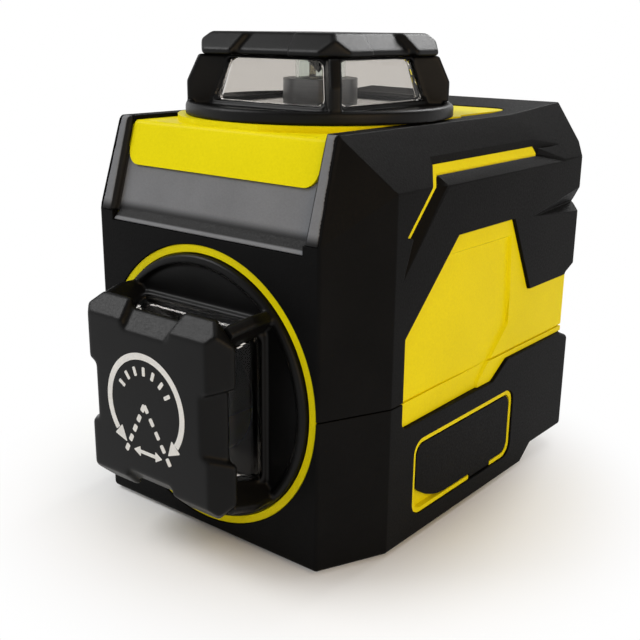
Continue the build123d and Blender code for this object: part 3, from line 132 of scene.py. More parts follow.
def applyModifier(piece, kind, settings):
    pick([piece])
    modifier = piece.modifiers.new(kind.lower(), kind)
    for name, value in settings.items():
        setattr(modifier, name, value)
    bpy.ops.object.modifier_apply(modifier=modifier.name)


def faceOutwards(piece):
    editAll(piece)
    bpy.ops.mesh.normals_make_consistent(inside=False)
    bpy.ops.object.mode_set(mode="OBJECT")


def joinPieces(pieces, name):
    pick(pieces)
    bpy.ops.object.join()
    joined = bpy.context.object
    joined.name = name
    return joined


def copyNode(nodeName, pieceName):
    # loose triangles of a CAD node, merged into one skin on an object of its own
    piece = bpy.data.objects.new(pieceName, nodes[nodeName].data.copy())
    bpy.context.scene.collection.objects.link(piece)
    editAll(piece)
    bpy.ops.mesh.customdata_custom_splitnormals_clear()
    bpy.ops.mesh.remove_doubles(threshold=mergeReach)
    bpy.ops.object.mode_set(mode="OBJECT")
    return piece


def easeEdges(piece, look):
    # even skin of small faces, smoothed, so that every edge turns over softly
    applyModifier(piece, "REMESH", {"mode": "VOXEL", "voxel_size": look["voxel"] * mm})
    applyModifier(piece, "SMOOTH", {"factor": look["softness"], "iterations": look["softPasses"]})


def cutWith(piece, tool, operation):
    applyModifier(piece, "BOOLEAN", {"operation": operation, "object": tool, "solver": "EXACT"})
    bpy.data.objects.remove(tool)


def finishPiece(piece, material, body):
    piece.data.materials.clear()
    piece.data.materials.append(material)
    pick([piece])
    bpy.ops.object.shade_smooth_by_angle(angle=smoothAngle)
    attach(piece, body)


# materials: moulded skins

mouldGrain = {
    "cloudDetail": 3.0, "grainDetail": 2.0, "grainRoughness": 0.65,
    "mottleSpan": (0.65, 1.35), "glossSpan": (0.3, 0.7),
}


def mouldedSkin(look):
    # cloud of colour, spark-eroded grain and uneven gloss, as a textured mould leaves them
    material, tree, shader = startMaterial(look["name"])
    place = addNode(tree, "ShaderNodeTexCoord").outputs["Object"]
    cloud = addNode(
        tree, "ShaderNodeTexNoise",
        {"Scale": perMetre(look["cloudMm"]), "Detail": mouldGrain["cloudDetail"]},
        {"Vector": place},
    ).outputs["Fac"]
    grain = addNode(
        tree, "ShaderNodeTexNoise",
        {
            "Scale": perMetre(look["grainMm"]), "Detail": mouldGrain["grainDetail"],
            "Roughness": mouldGrain["grainRoughness"],
        },
        {"Vector": place},
    ).outputs["Fac"]
    mottle = addNode(tree, "ShaderNodeMath", {"operation": "ADD"}, {0: cloud, 1: grain}).outputs["Value"]
    least, most = mouldGrain["mottleSpan"]
    spread = addNode(tree, "ShaderNodeMapRange", {"From Min": least, "From Max": most}, {"Value": mottle})
    tint = addNode(tree, "ShaderNodeValToRGB", links={"Fac": spread.outputs["Result"]})
    tint.color_ramp.elements[0].color = linear(look["dark"])
    tint.color_ramp.elements[1].color = linear(look["light"])
    least, most = mouldGrain["glossSpan"]
    low, high = look["roughness"]
    gloss = addNode(
        tree, "ShaderNodeMapRange",
        {"From Min": least, "From Max": most, "To Min": low, "To Max": high},
        {"Value": grain},
    )
    bump = addNode(
        tree, "ShaderNodeBump",
        {"Strength": look["grainStrength"], "Distance": look["grainDepthMm"] * mm},
        {"Height": grain},
    )
    dressShader(
        tree, shader,
        {"IOR": look["ior"], "Specular IOR Level": look["specular"]},
        {
            "Base Color": tint.outputs["Color"], "Roughness": gloss.outputs["Result"],
            "Normal": bump.outputs["Normal"],
        },
    )
    return material


skinLooks = {
    # ABS, injection-moulded and satin: warm yellow with a fine mould grain, drawn coarser than real to show
    "yellowAbs": {
        "name": "yellow_moulded_abs", "dark": "#E6D808", "light": "#F2E40C", "cloudMm": 22, "grainMm": 0.55,
        "grainDepthMm": 0.05, "grainStrength": 0.35, "roughness": (0.34, 0.46), "ior": 1.53, "specular": 0.04,
    },
    # thermoplastic elastomer, overmoulded: deep black, no shine but a broad soft sheen
    "elastomer": {
        "name": "black_overmoulded_elastomer", "dark": "#030303", "light": "#0B0B0C", "cloudMm": 14,
        "grainMm": 0.5, "grainDepthMm": 0.07, "grainStrength": 0.5, "roughness": (0.5, 0.68), "ior": 1.5,
        "specular": 0.07,
    },
    # glass-filled nylon, satin: black with a tight highlight on its bevels
    "nylon": {
        "name": "black_satin_nylon", "dark": "#070707", "light": "#0D0D0E", "cloudMm": 11, "grainMm": 0.4,
        "grainDepthMm": 0.03, "grainStrength": 0.3, "roughness": (0.34, 0.46), "ior": 1.53, "specular": 0.12,
    },
    # silicone keys: mid grey and dull
    "silicone": {
        "name": "grey_silicone_rubber", "dark": "#57595D", "light": "#626468", "cloudMm": 6, "grainMm": 0.5,
        "grainDepthMm": 0.03, "grainStrength": 0.3, "roughness": (0.55, 0.7), "ior": 1.43, "specular": 0.4,
    },
    # nitrile rubber for gaskets and feet: dark grey and flat
    "nitrile": {
        "name": "black_nitrile_rubber", "dark": "#141415", "light": "#1C1C1D", "cloudMm": 5, "grainMm": 0.6,
        "grainDepthMm": 0.06, "grainStrength": 0.5, "roughness": (0.7, 0.85), "ior": 1.5, "specular": 0.3,
    },
    # polyester keypad film: fine matt texture with an even sheen
    "film": {
        "name": "dark_keypad_film", "dark": "#2A2B2E", "light": "#303135", "cloudMm": 12, "grainMm": 0.4,
        "grainDepthMm": 0.02, "grainStrength": 0.25, "roughness": (0.42, 0.52), "ior": 1.57, "specular": 0.45,
    },
    # ABS without texture for inner mouldings: smooth, with a clear highlight
    "innerAbs": {
        "name": "black_plain_abs", "dark": "#1B1B1D", "light": "#232325", "cloudMm": 10, "grainMm": 0.8,
        "grainDepthMm": 0.02, "grainStrength": 0.2, "roughness": (0.3, 0.4), "ior": 1.53, "specular": 0.5,
    },
    # tinted polycarbonate light pipes, unlit: pale green and glossy
    "lens": {
        "name": "green_tinted_polycarbonate", "dark": "#5E8F58", "light": "#79AB70", "cloudMm": 2,
        "grainMm": 0.6, "grainDepthMm": 0.01, "grainStrength": 0.1, "roughness": (0.12, 0.2), "ior": 1.58,
        "specular": 0.5,
    },
    # printing ink: slightly uneven white
    "ink": {
        "name": "white_pad_print_ink", "dark": "#DCDCDA", "light": "#E9E9E7", "cloudMm": 3, "grainMm": 0.5,
        "grainDepthMm": 0.01, "grainStrength": 0.2, "roughness": (0.45, 0.55), "ior": 1.5, "specular": 0.4,
    },
}
skins = {key: mouldedSkin(look) for key, look in skinLooks.items()}


# materials: metals, glass and board

toolDetail = 2.0  # octaves of the tool marks


def workedMetal(look):
    # noise squeezed along the tool's path: rings of a lathe, lines of a brush or a cast skin
    material, tree, shader = startMaterial(look["name"])
    place = addNode(tree, "ShaderNodeTexCoord").outputs["Object"]
    path = addNode(
        tree, "ShaderNodeMapping",
        {"Scale": [perMetre(size) for size in look["lineMm"]]},
        {"Vector": place},
    ).outputs["Vector"]
    lines = addNode(
        tree, "ShaderNodeTexNoise", {"Scale": 1.0, "Detail": toolDetail}, {"Vector": path},
    ).outputs["Fac"]
    tint = addNode(tree, "ShaderNodeValToRGB", links={"Fac": lines})
    tint.color_ramp.elements[0].color = linear(look["dark"])
    tint.color_ramp.elements[1].color = linear(look["light"])
    low, high = look["roughness"]
    gloss = addNode(tree, "ShaderNodeMapRange", {"To Min": low, "To Max": high}, {"Value": lines})
    bump = addNode(
        tree, "ShaderNodeBump",
        {"Strength": look["lineStrength"], "Distance": look["lineDepthMm"] * mm},
        {"Height": lines},
    )
    dressShader(tree, shader, {"Metallic": 1.0}, {
        "Base Color": tint.outputs["Color"], "Roughness": gloss.outputs["Result"],
        "Normal": bump.outputs["Normal"],
    })
    return material


metalLooks = {
    # turned aluminium: rings round the upright barrel, seen through the window
    "turnedUpright": {
        "name": "turned_aluminium_upright", "dark": "#6C6E71", "light": "#8A8C8F", "lineMm": (40, 40, 0.4),
        "lineDepthMm": 0.02, "lineStrength": 0.3, "roughness": (0.22, 0.4),
    },
    # the same bar stock, with its rings round the barrel that points forward
    "turnedForward": {
        "name": "turned_aluminium_forward", "dark": "#6C6E71", "light": "#8A8C8F", "lineMm": (40, 0.4, 40),
        "lineDepthMm": 0.02, "lineStrength": 0.3, "roughness": (0.22, 0.4),
    },
    # pressure-cast aluminium: dull, with a flow-marked skin
    "cast": {
        "name": "cast_aluminium", "dark": "#8B8D8F", "light": "#B4B6B7", "lineMm": (1.6, 1.6, 1.6),
        "lineDepthMm": 0.08, "lineStrength": 0.4, "roughness": (0.42, 0.6),
    },
    # brass bar stock, turned: warm and bright, with fine tool marks
    "brass": {
        "name": "turned_brass", "dark": "#B08D45", "light": "#DDBB6A", "lineMm": (30, 0.5, 30),
        "lineDepthMm": 0.02, "lineStrength": 0.25, "roughness": (0.2, 0.36),
    },
    # zinc-plated steel for screws, pins and bearings: cool grey with a fine speckle
    "steel": {
        "name": "zinc_plated_steel", "dark": "#9A9DA1", "light": "#C3C6CA", "lineMm": (0.5, 0.5, 0.5),
        "lineDepthMm": 0.01, "lineStrength": 0.2, "roughness": (0.24, 0.38),
    },
}
metals = {key: workedMetal(look) for key, look in metalLooks.items()}


def clearMoulding(look):
    # clear and smooth: it shows by its reflections and a faint tint
    material, tree, shader = startMaterial(look["name"])
    place = addNode(tree, "ShaderNodeTexCoord").outputs["Object"]
    ripple = addNode(tree, "ShaderNodeTexNoise", {"Scale": perMetre(look["rippleMm"])}, {"Vector": place})
    bump = addNode(
        tree, "ShaderNodeBump",
        {"Strength": look["rippleStrength"], "Distance": look["rippleDepthMm"] * mm},
        {"Height": ripple.outputs["Fac"]},
    )
    dressShader(
        tree, shader,
        {
            "Base Color": linear(look["tint"]), "Roughness": look["roughness"], "IOR": look["ior"],
            "Specular IOR Level": look["specular"], "Transmission Weight": 1.0,
        },
        {"Normal": bump.outputs["Normal"]},
    )
    return material


clearLooks = {
    # cast acrylic with an anti-glare coat: its weak reflections come from an IOR below the bare 1.49
    "acrylic": {
        "name": "clear_acrylic", "tint": "#DDDAD6", "rippleMm": 14, "rippleDepthMm": 0.002,
        "rippleStrength": 0.1, "roughness": 0.0, "ior": 1.2, "specular": 0.15,
    },
    # crown glass, ground and coated: almost no tint
    "glass": {
        "name": "coated_crown_glass", "tint": "#F1F7F4", "rippleMm": 6, "rippleDepthMm": 0.002,
        "rippleStrength": 0.1, "roughness": 0.0, "ior": 1.52, "specular": 0.4,
    },
}
clears = {key: clearMoulding(look) for key, look in clearLooks.items()}

coneLook = {
    "name": "silvered_mirror", "dark": "#85878B", "light": "#9DA0A4", "hazeMm": 2.0, "hazeDetail": 3.0,
    "roughness": (0.04, 0.12),
}


def silveredMirror(look):
    # evaporated silver: a bright mirror with a trace of haze
    material, tree, shader = startMaterial(look["name"])
    place = addNode(tree, "ShaderNodeTexCoord").outputs["Object"]
    haze = addNode(
        tree, "ShaderNodeTexNoise",
        {"Scale": perMetre(look["hazeMm"]), "Detail": look["hazeDetail"]},
        {"Vector": place},
    ).outputs["Fac"]
    tint = addNode(tree, "ShaderNodeValToRGB", links={"Fac": haze})
    tint.color_ramp.elements[0].color = linear(look["dark"])
    tint.color_ramp.elements[1].color = linear(look["light"])
    low, high = look["roughness"]
    gloss = addNode(tree, "ShaderNodeMapRange", {"To Min": low, "To Max": high}, {"Value": haze})
    dressShader(tree, shader, {"Metallic": 1.0}, {
        "Base Color": tint.outputs["Color"], "Roughness": gloss.outputs["Result"],
    })
    return material


boardLook = {
    "name": "solder_mask_board", "mask": "#0F5A2C", "trace": "#1C7A40", "cellMm": 3.4, "gapMm": 0.35,
    "trackStrength": 0.3, "trackDepthMm": 0.03, "roughness": 0.35,
}


def solderMask(look):
    # epoxy board: green lacquer over a net of copper tracks
    material, tree, shader = startMaterial(look["name"])
    place = addNode(tree, "ShaderNodeTexCoord").outputs["Object"]
    upright = addNode(tree, "ShaderNodeMapping", {"Rotation": (math.radians(90), 0, 0)}, {"Vector": place})
    tracks = addNode(
        tree, "ShaderNodeTexBrick",
        {
            "Color1": linear(look["mask"]), "Color2": linear(look["mask"]), "Mortar": linear(look["trace"]),
            "Scale": perMetre(look["cellMm"]), "Mortar Size": look["gapMm"] / look["cellMm"],
        },
        {"Vector": upright.outputs["Vector"]},
    )
    bump = addNode(
        tree, "ShaderNodeBump",
        {"Strength": look["trackStrength"], "Distance": look["trackDepthMm"] * mm},
        {"Height": tracks.outputs["Fac"]},
    )
    dressShader(tree, shader, {"Roughness": look["roughness"]}, {
        "Base Color": tracks.outputs["Color"], "Normal": bump.outputs["Normal"],
    })
    return material


# nodes that a piece further down stands for get their material there
finishes = [
    (skins["yellowAbs"], ["upper_case", "lower_case"]),
    (skins["nylon"], ["lock_slider"]),
    (skins["silicone"], ["button_power", "button_horizontal", "button_vertical"]),
    (skins["nitrile"], ["top_turret_gasket", "front_turret_gasket", "foot_pads"]),
    (skins["film"], ["keypad_panel"]),
    (skins["innerAbs"], ["key_switches", "lock_plunger", "battery_pack"]),
    (clears["glass"], ["vertical_lens", "forward_lens", "vertical_tube", "forward_tube"]),
    (silveredMirror(coneLook), ["vertical_cone", "forward_cone"]),
    (solderMask(boardLook), ["main_board", "key_board"]),
    (metals["turnedUpright"], ["vertical_laser"]),
    (metals["turnedForward"], ["forward_laser"]),
    (metals["cast"], ["pendulum", "gimbal_ring", "chassis"]),
    (metals["brass"], ["counterweight", "damper_plate", "tripod_insert"]),
    (metals["steel"], [
        "balance_screws", "gimbal_pins", "gimbal_bearings", "pendulum_pins", "chassis_bearings",
        "chassis_screws", "damper_magnets", "top_turret_screws", "front_turret_screws", "board_screws",
        "battery_contacts", "charge_socket",
    ]),
]
for material, nodeNames in finishes:
    wear(nodeNames, material)
print("materials: dressed", sum(len(names) for _, names in finishes), "nodes")


# slope cover with softened edges

slopeLook = {
    "voxel": 0.26, "softness": 0.5, "softPasses": 9,
    # polycarbonate, textured: grey panel that takes the light flatly. Its grey is a painted sheen, the light
    # on the leaning faces painted into the colour
    "skin": {
        "name": "grey_polycarbonate_painted_sheen", "dark": "#6C6E72", "light": "#787A7E", "cloudMm": 9,
        "grainMm": 0.45, "grainDepthMm": 0.06, "grainStrength": 0.55, "roughness": (0.5, 0.66), "ior": 1.58,
        "specular": 0.14,
    },
    # painted shade: the dark colour the cover shows in its cove and on its side walls
    "low": "#0F0F10",
    # the painted grey sheen ends where the surface leans sideways, and in millimetres down the cove and round
    # the lip, where painted shade takes over
    "wallFrom": 0.25, "wallFull": 0.6, "coveFrom": 76.2, "coveFull": 73.8,
    "lipDepth": 0.6, "lipEnd": 0.95, "lipTop": 72.2, "lipClear": 72.7,
}
# number of each colour socket on a Mix node
mixShare, mixFirst, mixSecond, mixResult = 0, 6, 7, 2


def sheenAndShadePainted(look, front):
    # painted sheen and painted shade: grey on the faces that lean up towards the lamps, panel, rail tops and
    # front lip; the cove and the side walls stay dark as painted shade
    material = mouldedSkin(look["skin"])
    tree = material.node_tree
    shader = tree.nodes["Principled BSDF"]
    grey = shader.inputs["Base Color"].links[0].from_socket
    coords = addNode(tree, "ShaderNodeTexCoord").outputs
    place = addNode(tree, "ShaderNodeSeparateXYZ", links={"Vector": coords["Object"]}).outputs
    lean = addNode(tree, "ShaderNodeSeparateXYZ", links={"Vector": coords["Normal"]}).outputs
    sideways = addNode(tree, "ShaderNodeMath", {"operation": "ABSOLUTE"}, {0: lean["X"]}).outputs["Value"]
    steps = {
        "wall": (sideways, look["wallFull"], look["wallFrom"]),
        "panel": (place["Z"], look["coveFull"] * mm, look["coveFrom"] * mm),
        "lipFront": (place["Y"], front + look["lipEnd"] * mm, front + look["lipDepth"] * mm),
        "lipLow": (place["Z"], look["lipClear"] * mm, look["lipTop"] * mm),
    }
    share = {
        key: addNode(
            tree, "ShaderNodeMapRange",
            {"interpolation_type": "SMOOTHSTEP", "From Min": none, "From Max": full},
            {"Value": value},
        ).outputs["Result"]
        for key, (value, none, full) in steps.items()
    }
    for key, operation, first, second in (
        ("lip", "MULTIPLY", "lipFront", "lipLow"),
        ("raised", "MAXIMUM", "panel", "lip"),
        ("paintedSheen", "MULTIPLY", "raised", "wall"),
    ):
        join = addNode(tree, "ShaderNodeMath", {"operation": operation}, {0: share[first], 1: share[second]})
        share[key] = join.outputs["Value"]
    # painted shade where the share is 0, painted grey sheen where it is 1
    tone = addNode(tree, "ShaderNodeMix", {"data_type": "RGBA"}, {mixShare: share["paintedSheen"], mixSecond: grey})
    tone.inputs[mixFirst].default_value = linear(look["low"])
    tree.links.new(tone.outputs[mixResult], shader.inputs["Base Color"])
    return material


def softSlopeCover(look):
    # moulded cover with its edges eased, as rubber leaves a mould
    cover = copyNode("slope_trim", "slope_cover")
    easeEdges(cover, look)
    finishPiece(cover, sheenAndShadePainted(look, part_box("slope_trim")[0].y), "case")
    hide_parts("slope_trim")


softSlopeCover(slopeLook)
print("slope: cover softened")


# armour and flap with rounded edges

armourLook = {
    # node, its body and the width of its rounded edges in millimetres
    "pieces": [("upper_armor", "case", 0.25), ("lower_armor", "case", 0.3), ("port_flap", "flap", 0.2)],
    "flatAngle": 0.6, "sliver": 0.03, "edgeAngle": 35, "segments": 2, "flatWeight": 100,
}


def roundArmour(nodeName, body, width, look):
    # bonded skin whose cut edges are rounded over
    skin = copyNode(nodeName, f"{nodeName}_skin")
    editAll(skin)
    bpy.ops.mesh.dissolve_limited(angle_limit=math.radians(look["flatAngle"]))
    bpy.ops.mesh.select_all(action="SELECT")
    bpy.ops.mesh.remove_doubles(threshold=look["sliver"] * mm)
    bpy.ops.object.mode_set(mode="OBJECT")
    applyModifier(skin, "BEVEL", {
        "width": width * mm, "segments": look["segments"], "limit_method": "ANGLE",
        "angle_limit": math.radians(look["edgeAngle"]), "use_clamp_overlap": False,
    })
    finishPiece(skin, skins["elastomer"], body)
    applyModifier(skin, "WEIGHTED_NORMAL", {"keep_sharp": True, "weight": look["flatWeight"]})
    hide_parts(nodeName)


for nodeName, body, width in armourLook["pieces"]:
    roundArmour(nodeName, body, width, armourLook)
print("armour: edges rounded")


# turrets: windows that reach the posts, and mouldings with softened edges

turretLook = {
    # millimetres from the seat: half width, corner distance and height of the window's foot and of its top
    "low": (18.5, 24.7, 2.2), "high": (15.4, 20.5, 13.8), "paneThick": 1.4, "hollowStretch": 1.2,
    "bezel": 1.5, "padBack": 0.1, "padGap": 0.1,
    "viewLow": 3.4, "viewHigh": 13.1, "viewFrom": 12, "viewTo": 23, "postHalf": 2.05, "lip": 0.15,
    "cornerRound": 1.5, "cornerSteps": 5, "voxel": 0.31, "softness": 0.5, "softPasses": 7,
}
lidLook = {"voxel": 0.3, "softness": 0.5, "softPasses": 16}


def leaningStub(look, margin):
    # eight-sided solid that leans in towards the cap: four sides with cut corners
    deselectAll()
    bpy.ops.mesh.primitive_cylinder_add(vertices=8, radius=1, depth=2)
    stub = bpy.context.object
    for vert in stub.data.vertices:
        half, corner, height = look["high"] if vert.co.z > 0 else look["low"]
        half, corner = half + margin, corner + margin
        cut = 2 * half - corner * math.sqrt(2)
        eighth = round(math.degrees(math.atan2(vert.co.y, vert.co.x)) / 45) % 8
        side = math.radians((eighth // 2) * 90)
        across = (half - cut) * (1 if eighth % 2 else -1)
        vert.co = (
            (half * math.cos(side) - across * math.sin(side)) * mm,
            (half * math.sin(side) + across * math.cos(side)) * mm,
            height * mm,
        )
    return stub


def viewWedge(look, turn, inset):
    # space in front of one side of the window, from post to post, with rounded corners
    near, far = look["viewFrom"], look["viewTo"]
    low, high = look["viewLow"] + inset, look["viewHigh"] - inset
    spare = look["postHalf"] + look["lip"] + inset * math.sqrt(2)
    nearHalf, farHalf = near - spare, far - spare
    deselectAll()
    bpy.ops.mesh.primitive_cube_add(size=1)
    wedge = bpy.context.object
    wedge.scale = ((far - near) * mm, 2 * nearHalf * mm, (high - low) * mm)
    wedge.location = ((near + far) / 2 * mm, 0, (low + high) / 2 * mm)
    applyPlace(wedge)
    pickVerts(wedge, lambda co: co.x > (near + far) / 2 * mm)
    bpy.ops.transform.resize(value=(1, farHalf / nearHalf, 1), center_override=(0, 0, 0))
    bpy.ops.mesh.select_mode(type="EDGE")
    bpy.ops.mesh.select_all(action="DESELECT")
    bpy.ops.object.mode_set(mode="OBJECT")
    for edge in wedge.data.edges:
        first, second = [wedge.data.vertices[i].co for i in edge.vertices]
        edge.select = abs(first.x - second.x) > (far - near) / 2 * mm
    bpy.ops.object.mode_set(mode="EDIT")
    bpy.ops.mesh.bevel(offset=look["cornerRound"] * mm, segments=look["cornerSteps"])
    wedge.rotation_euler = (0, 0, math.radians(turn))
    applyPlace(wedge)
    return wedge


def standTurret(piece, seat, turn):
    piece.location = seat
    piece.rotation_euler = turn
    applyPlace(piece)


def turretPieces(name, seat, turn, look):
    # frame opened from post to post, and the clear window with a thick pad in each opening
    bezel = copyNode(f"{name}_turret_frame", f"{name}_turret_bezel")
    pane = leaningStub(look, 0)
    for side in (0, 90, 180, 270):
        cutter = viewWedge(look, side, 0)
        standTurret(cutter, seat, turn)
        cutWith(bezel, cutter, "DIFFERENCE")
        pad = leaningStub(look, look["bezel"] - look["padBack"])
        cutWith(pad, viewWedge(look, side, look["padGap"]), "INTERSECT")
        cutWith(pane, pad, "UNION")
    hollow = leaningStub(look, -look["paneThick"])
    hollow.scale = (1, 1, look["hollowStretch"])
    applyPlace(hollow)
    cutWith(pane, hollow, "DIFFERENCE")
    standTurret(pane, seat, turn)
    pane.name = f"{name}_turret_pane"
    easeEdges(bezel, look)
    finishPiece(bezel, skins["nylon"], "case")
    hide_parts(f"{name}_turret_frame")
    finishPiece(pane, clears["acrylic"], "case")
    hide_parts(f"{name}_turret_window")
    lid = copyNode(f"{name}_turret_cap", f"{name}_turret_lid")
    easeEdges(lid, lidLook)
    finishPiece(lid, skins["nylon"], "case")
    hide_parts(f"{name}_turret_cap")


# turns that stand what is drawn on the XY plane up, to face the front or the rear
faceForward = (math.radians(90), 0, 0)
faceBack = (math.radians(90), 0, math.radians(180))
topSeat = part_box("top_turret_frame")[0].z
frontLow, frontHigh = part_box("front_turret_frame")
turretPieces("top", (0, 0, topSeat), (0, 0, 0), turretLook)
turretPieces("front", (0, frontHigh.y, (frontLow.z + frontHigh.z) / 2), faceForward, turretLook)
print("turrets: frames, windows and caps softened")


# printed marks

inkLook = {
    "thick": 0.05, "layer": 0.001, "ringSides": 144,
    "barCorner": 0.28, "headCorner": 0.28 / 3, "cornerSteps": 3,  # corners as a share of the width
}


def bluntCorners(stroke, reach):
    editAll(stroke)
    bpy.ops.mesh.bevel(offset=reach * mm, segments=inkLook["cornerSteps"], affect="VERTICES")
    bpy.ops.object.mode_set(mode="OBJECT")


def inkBar(start, end, width):
    # flat bar with rounded corners, drawn on the XY plane in millimetres
    length = math.dist(start, end)
    turn = math.atan2(end[1] - start[1], end[0] - start[0])
    middle = [(a + b) / 2 * mm for a, b in zip(start, end)]
    deselectAll()
    bpy.ops.mesh.primitive_plane_add(size=1, location=(*middle, 0), rotation=(0, 0, turn))
    bar = bpy.context.object
    bar.scale = (length * mm, width * mm, 1)
    applyPlace(bar)
    bluntCorners(bar, min(width, length) * inkLook["barCorner"])
    return bar


def inkHead(tip, heading, length, width):
    # arrowhead: a three-sided circle drawn out to its length and width, with blunt corners
    toCentre = length * 2 / 3
    centre = (
        (tip[0] - toCentre * math.cos(heading)) * mm,
        (tip[1] - toCentre * math.sin(heading)) * mm,
    )
    deselectAll()
    bpy.ops.mesh.primitive_circle_add(
        vertices=3, radius=1, fill_type="NGON", location=(*centre, 0), rotation=(0, 0, heading - math.pi / 2),
    )
    head = bpy.context.object
    head.scale = (width / math.sqrt(3) * mm, length / 1.5 * mm, 1)
    applyPlace(head)
    bluntCorners(head, width * inkLook["headCorner"])
    return head


def inkRing(centre, middle, width, openFrom, openTo):
    # part of a ring: a circle, cut open between two angles, with its edge drawn out to a band
    inner, outer = middle - width / 2, middle + width / 2
    place = (centre[0] * mm, centre[1] * mm, 0)
    deselectAll()
    bpy.ops.mesh.primitive_circle_add(vertices=inkLook["ringSides"], radius=inner * mm, location=place)
    ring = bpy.context.object
    pickVerts(ring, lambda co: openFrom < math.degrees(math.atan2(co.y, co.x)) % 360 < openTo)
    bpy.ops.mesh.delete(type="VERT")
    bpy.ops.mesh.select_all(action="SELECT")
    bpy.ops.mesh.extrude_edges_move()
    bpy.ops.transform.resize(value=(outer / inner, outer / inner, 1), center_override=place)
    applyPlace(ring)
    return ring


def printMarks(strokes, name, place, turn, body):
    # strokes become one thin film, half of it sunk in the face that carries it
    for count, stroke in enumerate(strokes):
        stroke.location.z += count * inkLook["layer"] * mm  # crossing strokes lie one over the other
    marks = joinPieces(strokes, name)
    applyModifier(marks, "SOLIDIFY", {"thickness": inkLook["thick"] * mm, "offset": 0})
    faceOutwards(marks)
    marks.rotation_euler = turn
    marks.location = place
    applyPlace(marks)
    finishPiece(marks, skins["ink"], body)


beamMark = {
    "centre": (-0.4, 0.0), "ring": 11.55, "ringWidth": 1.5, "openFrom": 218.5, "openTo": 324.5,
    "headLength": 3.7, "headWidth": 3.6, "headTurn": 98,
    "apex": (-0.6, 0.5), "legEnds": ((-7.7, -12.8), (7.7, -12.7)),
    "dashes": 5, "dashShare": 0.62, "dashWidth": 1.15,
    "spanEnds": ((-4.6, -10.8), (4.6, -10.8)), "spanWidth": 0.85, "spanHead": (2.2, 2.5),
    "ticks": (30, 50, 70, 90, 110, 130, 150), "tickFrom": 7.2, "tickTo": 9.3, "tickWidth": 0.9,
}


def beamStrokes(look):
    # sweep of the beam: open ring with arrow ends, dashed wedge, a small span arrow and a scale of ticks
    cx, cy = look["centre"]
    strokes = [inkRing(look["centre"], look["ring"], look["ringWidth"], look["openFrom"], look["openTo"])]
    for end, way in ((look["openFrom"], 1), (look["openTo"], -1)):
        angle = math.radians(end)
        heading = angle + way * math.radians(look["headTurn"])
        tip = (
            cx + look["ring"] * math.cos(angle) + look["headLength"] * math.cos(heading),
            cy + look["ring"] * math.sin(angle) + look["headLength"] * math.sin(heading),
        )
        strokes.append(inkHead(tip, heading, look["headLength"], look["headWidth"]))
    for end in look["legEnds"]:
        step = [(b - a) / look["dashes"] for a, b in zip(look["apex"], end)]
        for n in range(look["dashes"]):
            start = [a + s * n for a, s in zip(look["apex"], step)]
            stop = [a + s * look["dashShare"] for a, s in zip(start, step)]
            strokes.append(inkBar(start, stop, look["dashWidth"]))
    left, right = look["spanEnds"]
    headLength, headWidth = look["spanHead"]
    shaft = [(left[0] + headLength / 2, left[1]), (right[0] - headLength / 2, right[1])]
    strokes.append(inkBar(*shaft, look["spanWidth"]))
    strokes.append(inkHead(left, math.pi, headLength, headWidth))
    strokes.append(inkHead(right, 0, headLength, headWidth))
    for tick in look["ticks"]:
        ray = (math.cos(math.radians(tick)), math.sin(math.radians(tick)))
        ends = [(cx + ray[0] * reach, cy + ray[1] * reach) for reach in (look["tickFrom"], look["tickTo"])]
        strokes.append(inkBar(*ends, look["tickWidth"]))
    return strokes


capLow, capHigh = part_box("front_turret_cap")
capFace = ((capLow.x + capHigh.x) / 2, capLow.y, (capLow.z + capHigh.z) / 2)
printMarks(beamStrokes(beamMark), "front_cap_marks", capFace, faceForward, "case")

keyMark = {
    "ring": 2.5, "ringWidth": 0.6, "openFrom": 60, "openTo": 120,
    "barFrom": 0.4, "barTo": 3.0, "barWidth": 0.6,
    "lineHalf": 3.2, "pointGap": 0.5, "pointLength": 1.6, "pointWidth": 1.8,
}


def keyStrokes(look):
    # one generic sign for each key: on and off, level line, upright line
    half, width, gap = look["lineHalf"], look["barWidth"], look["pointGap"]
    point = (-look["pointLength"], look["pointWidth"])  # drawn backwards from the line
    return {
        "power": [
            inkRing((0, 0), look["ring"], look["ringWidth"], look["openFrom"], look["openTo"]),
            inkBar((0, look["barFrom"]), (0, look["barTo"]), width),
        ],
        "horizontal": [inkBar((-half, 0), (half, 0), width), inkHead((0, -gap), math.pi / 2, *point)],
        "vertical": [inkBar((0, -half), (0, half), width), inkHead((-gap, 0), 0, *point)],
    }


for key, strokes in keyStrokes(keyMark).items():
    low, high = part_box(f"button_{key}")
    keyFace = ((low.x + high.x) / 2, high.y, (low.z + high.z) / 2)
    printMarks(strokes, f"{key}_key_mark", keyFace, faceBack, f"{key}_key")
print("marks: cap and three keys printed")


# small fittings: thread in the base, screw recesses and key lamps

threadLook = {"root": 3.24, "crest": 2.68, "pitch": 1.27, "turns": 4, "steps": 40, "from": 0.55, "land": 0.16}


def threadProfile(look):
    # four corners of the thread's section: a wedge with a flat crest
    base, land = look["pitch"] / 2 - look["land"], look["land"] / 2
    corners = (("root", -base), ("crest", -land), ("crest", land), ("root", base))
    return [(look[edge] * mm, 0, (look["from"] + up) * mm) for edge, up in corners]


def tapThread(look):
    # quarter-inch thread: the wedge wound up the bore
    profile = threadProfile(look)
    deselectAll()
    bpy.ops.mesh.primitive_circle_add(vertices=len(profile), radius=look["root"] * mm)
    thread = bpy.context.object
    for vert, place in zip(thread.data.vertices, profile):
        vert.co = place
    applyModifier(thread, "SCREW", {
        "axis": "Z", "angle": math.radians(360), "screw_offset": look["pitch"] * mm,
        "iterations": look["turns"], "steps": look["steps"], "render_steps": look["steps"],
    })
    editAll(thread)
    bpy.ops.mesh.fill_holes(sides=len(profile))
    faceOutwards(thread)
    thread.name = "tripod_thread_form"
    finishPiece(thread, metals["brass"], "case")


tapThread(threadLook)

driveLook = {"arm": 3.3, "slot": 0.75, "depth": 1.1, "floorShare": 0.55}


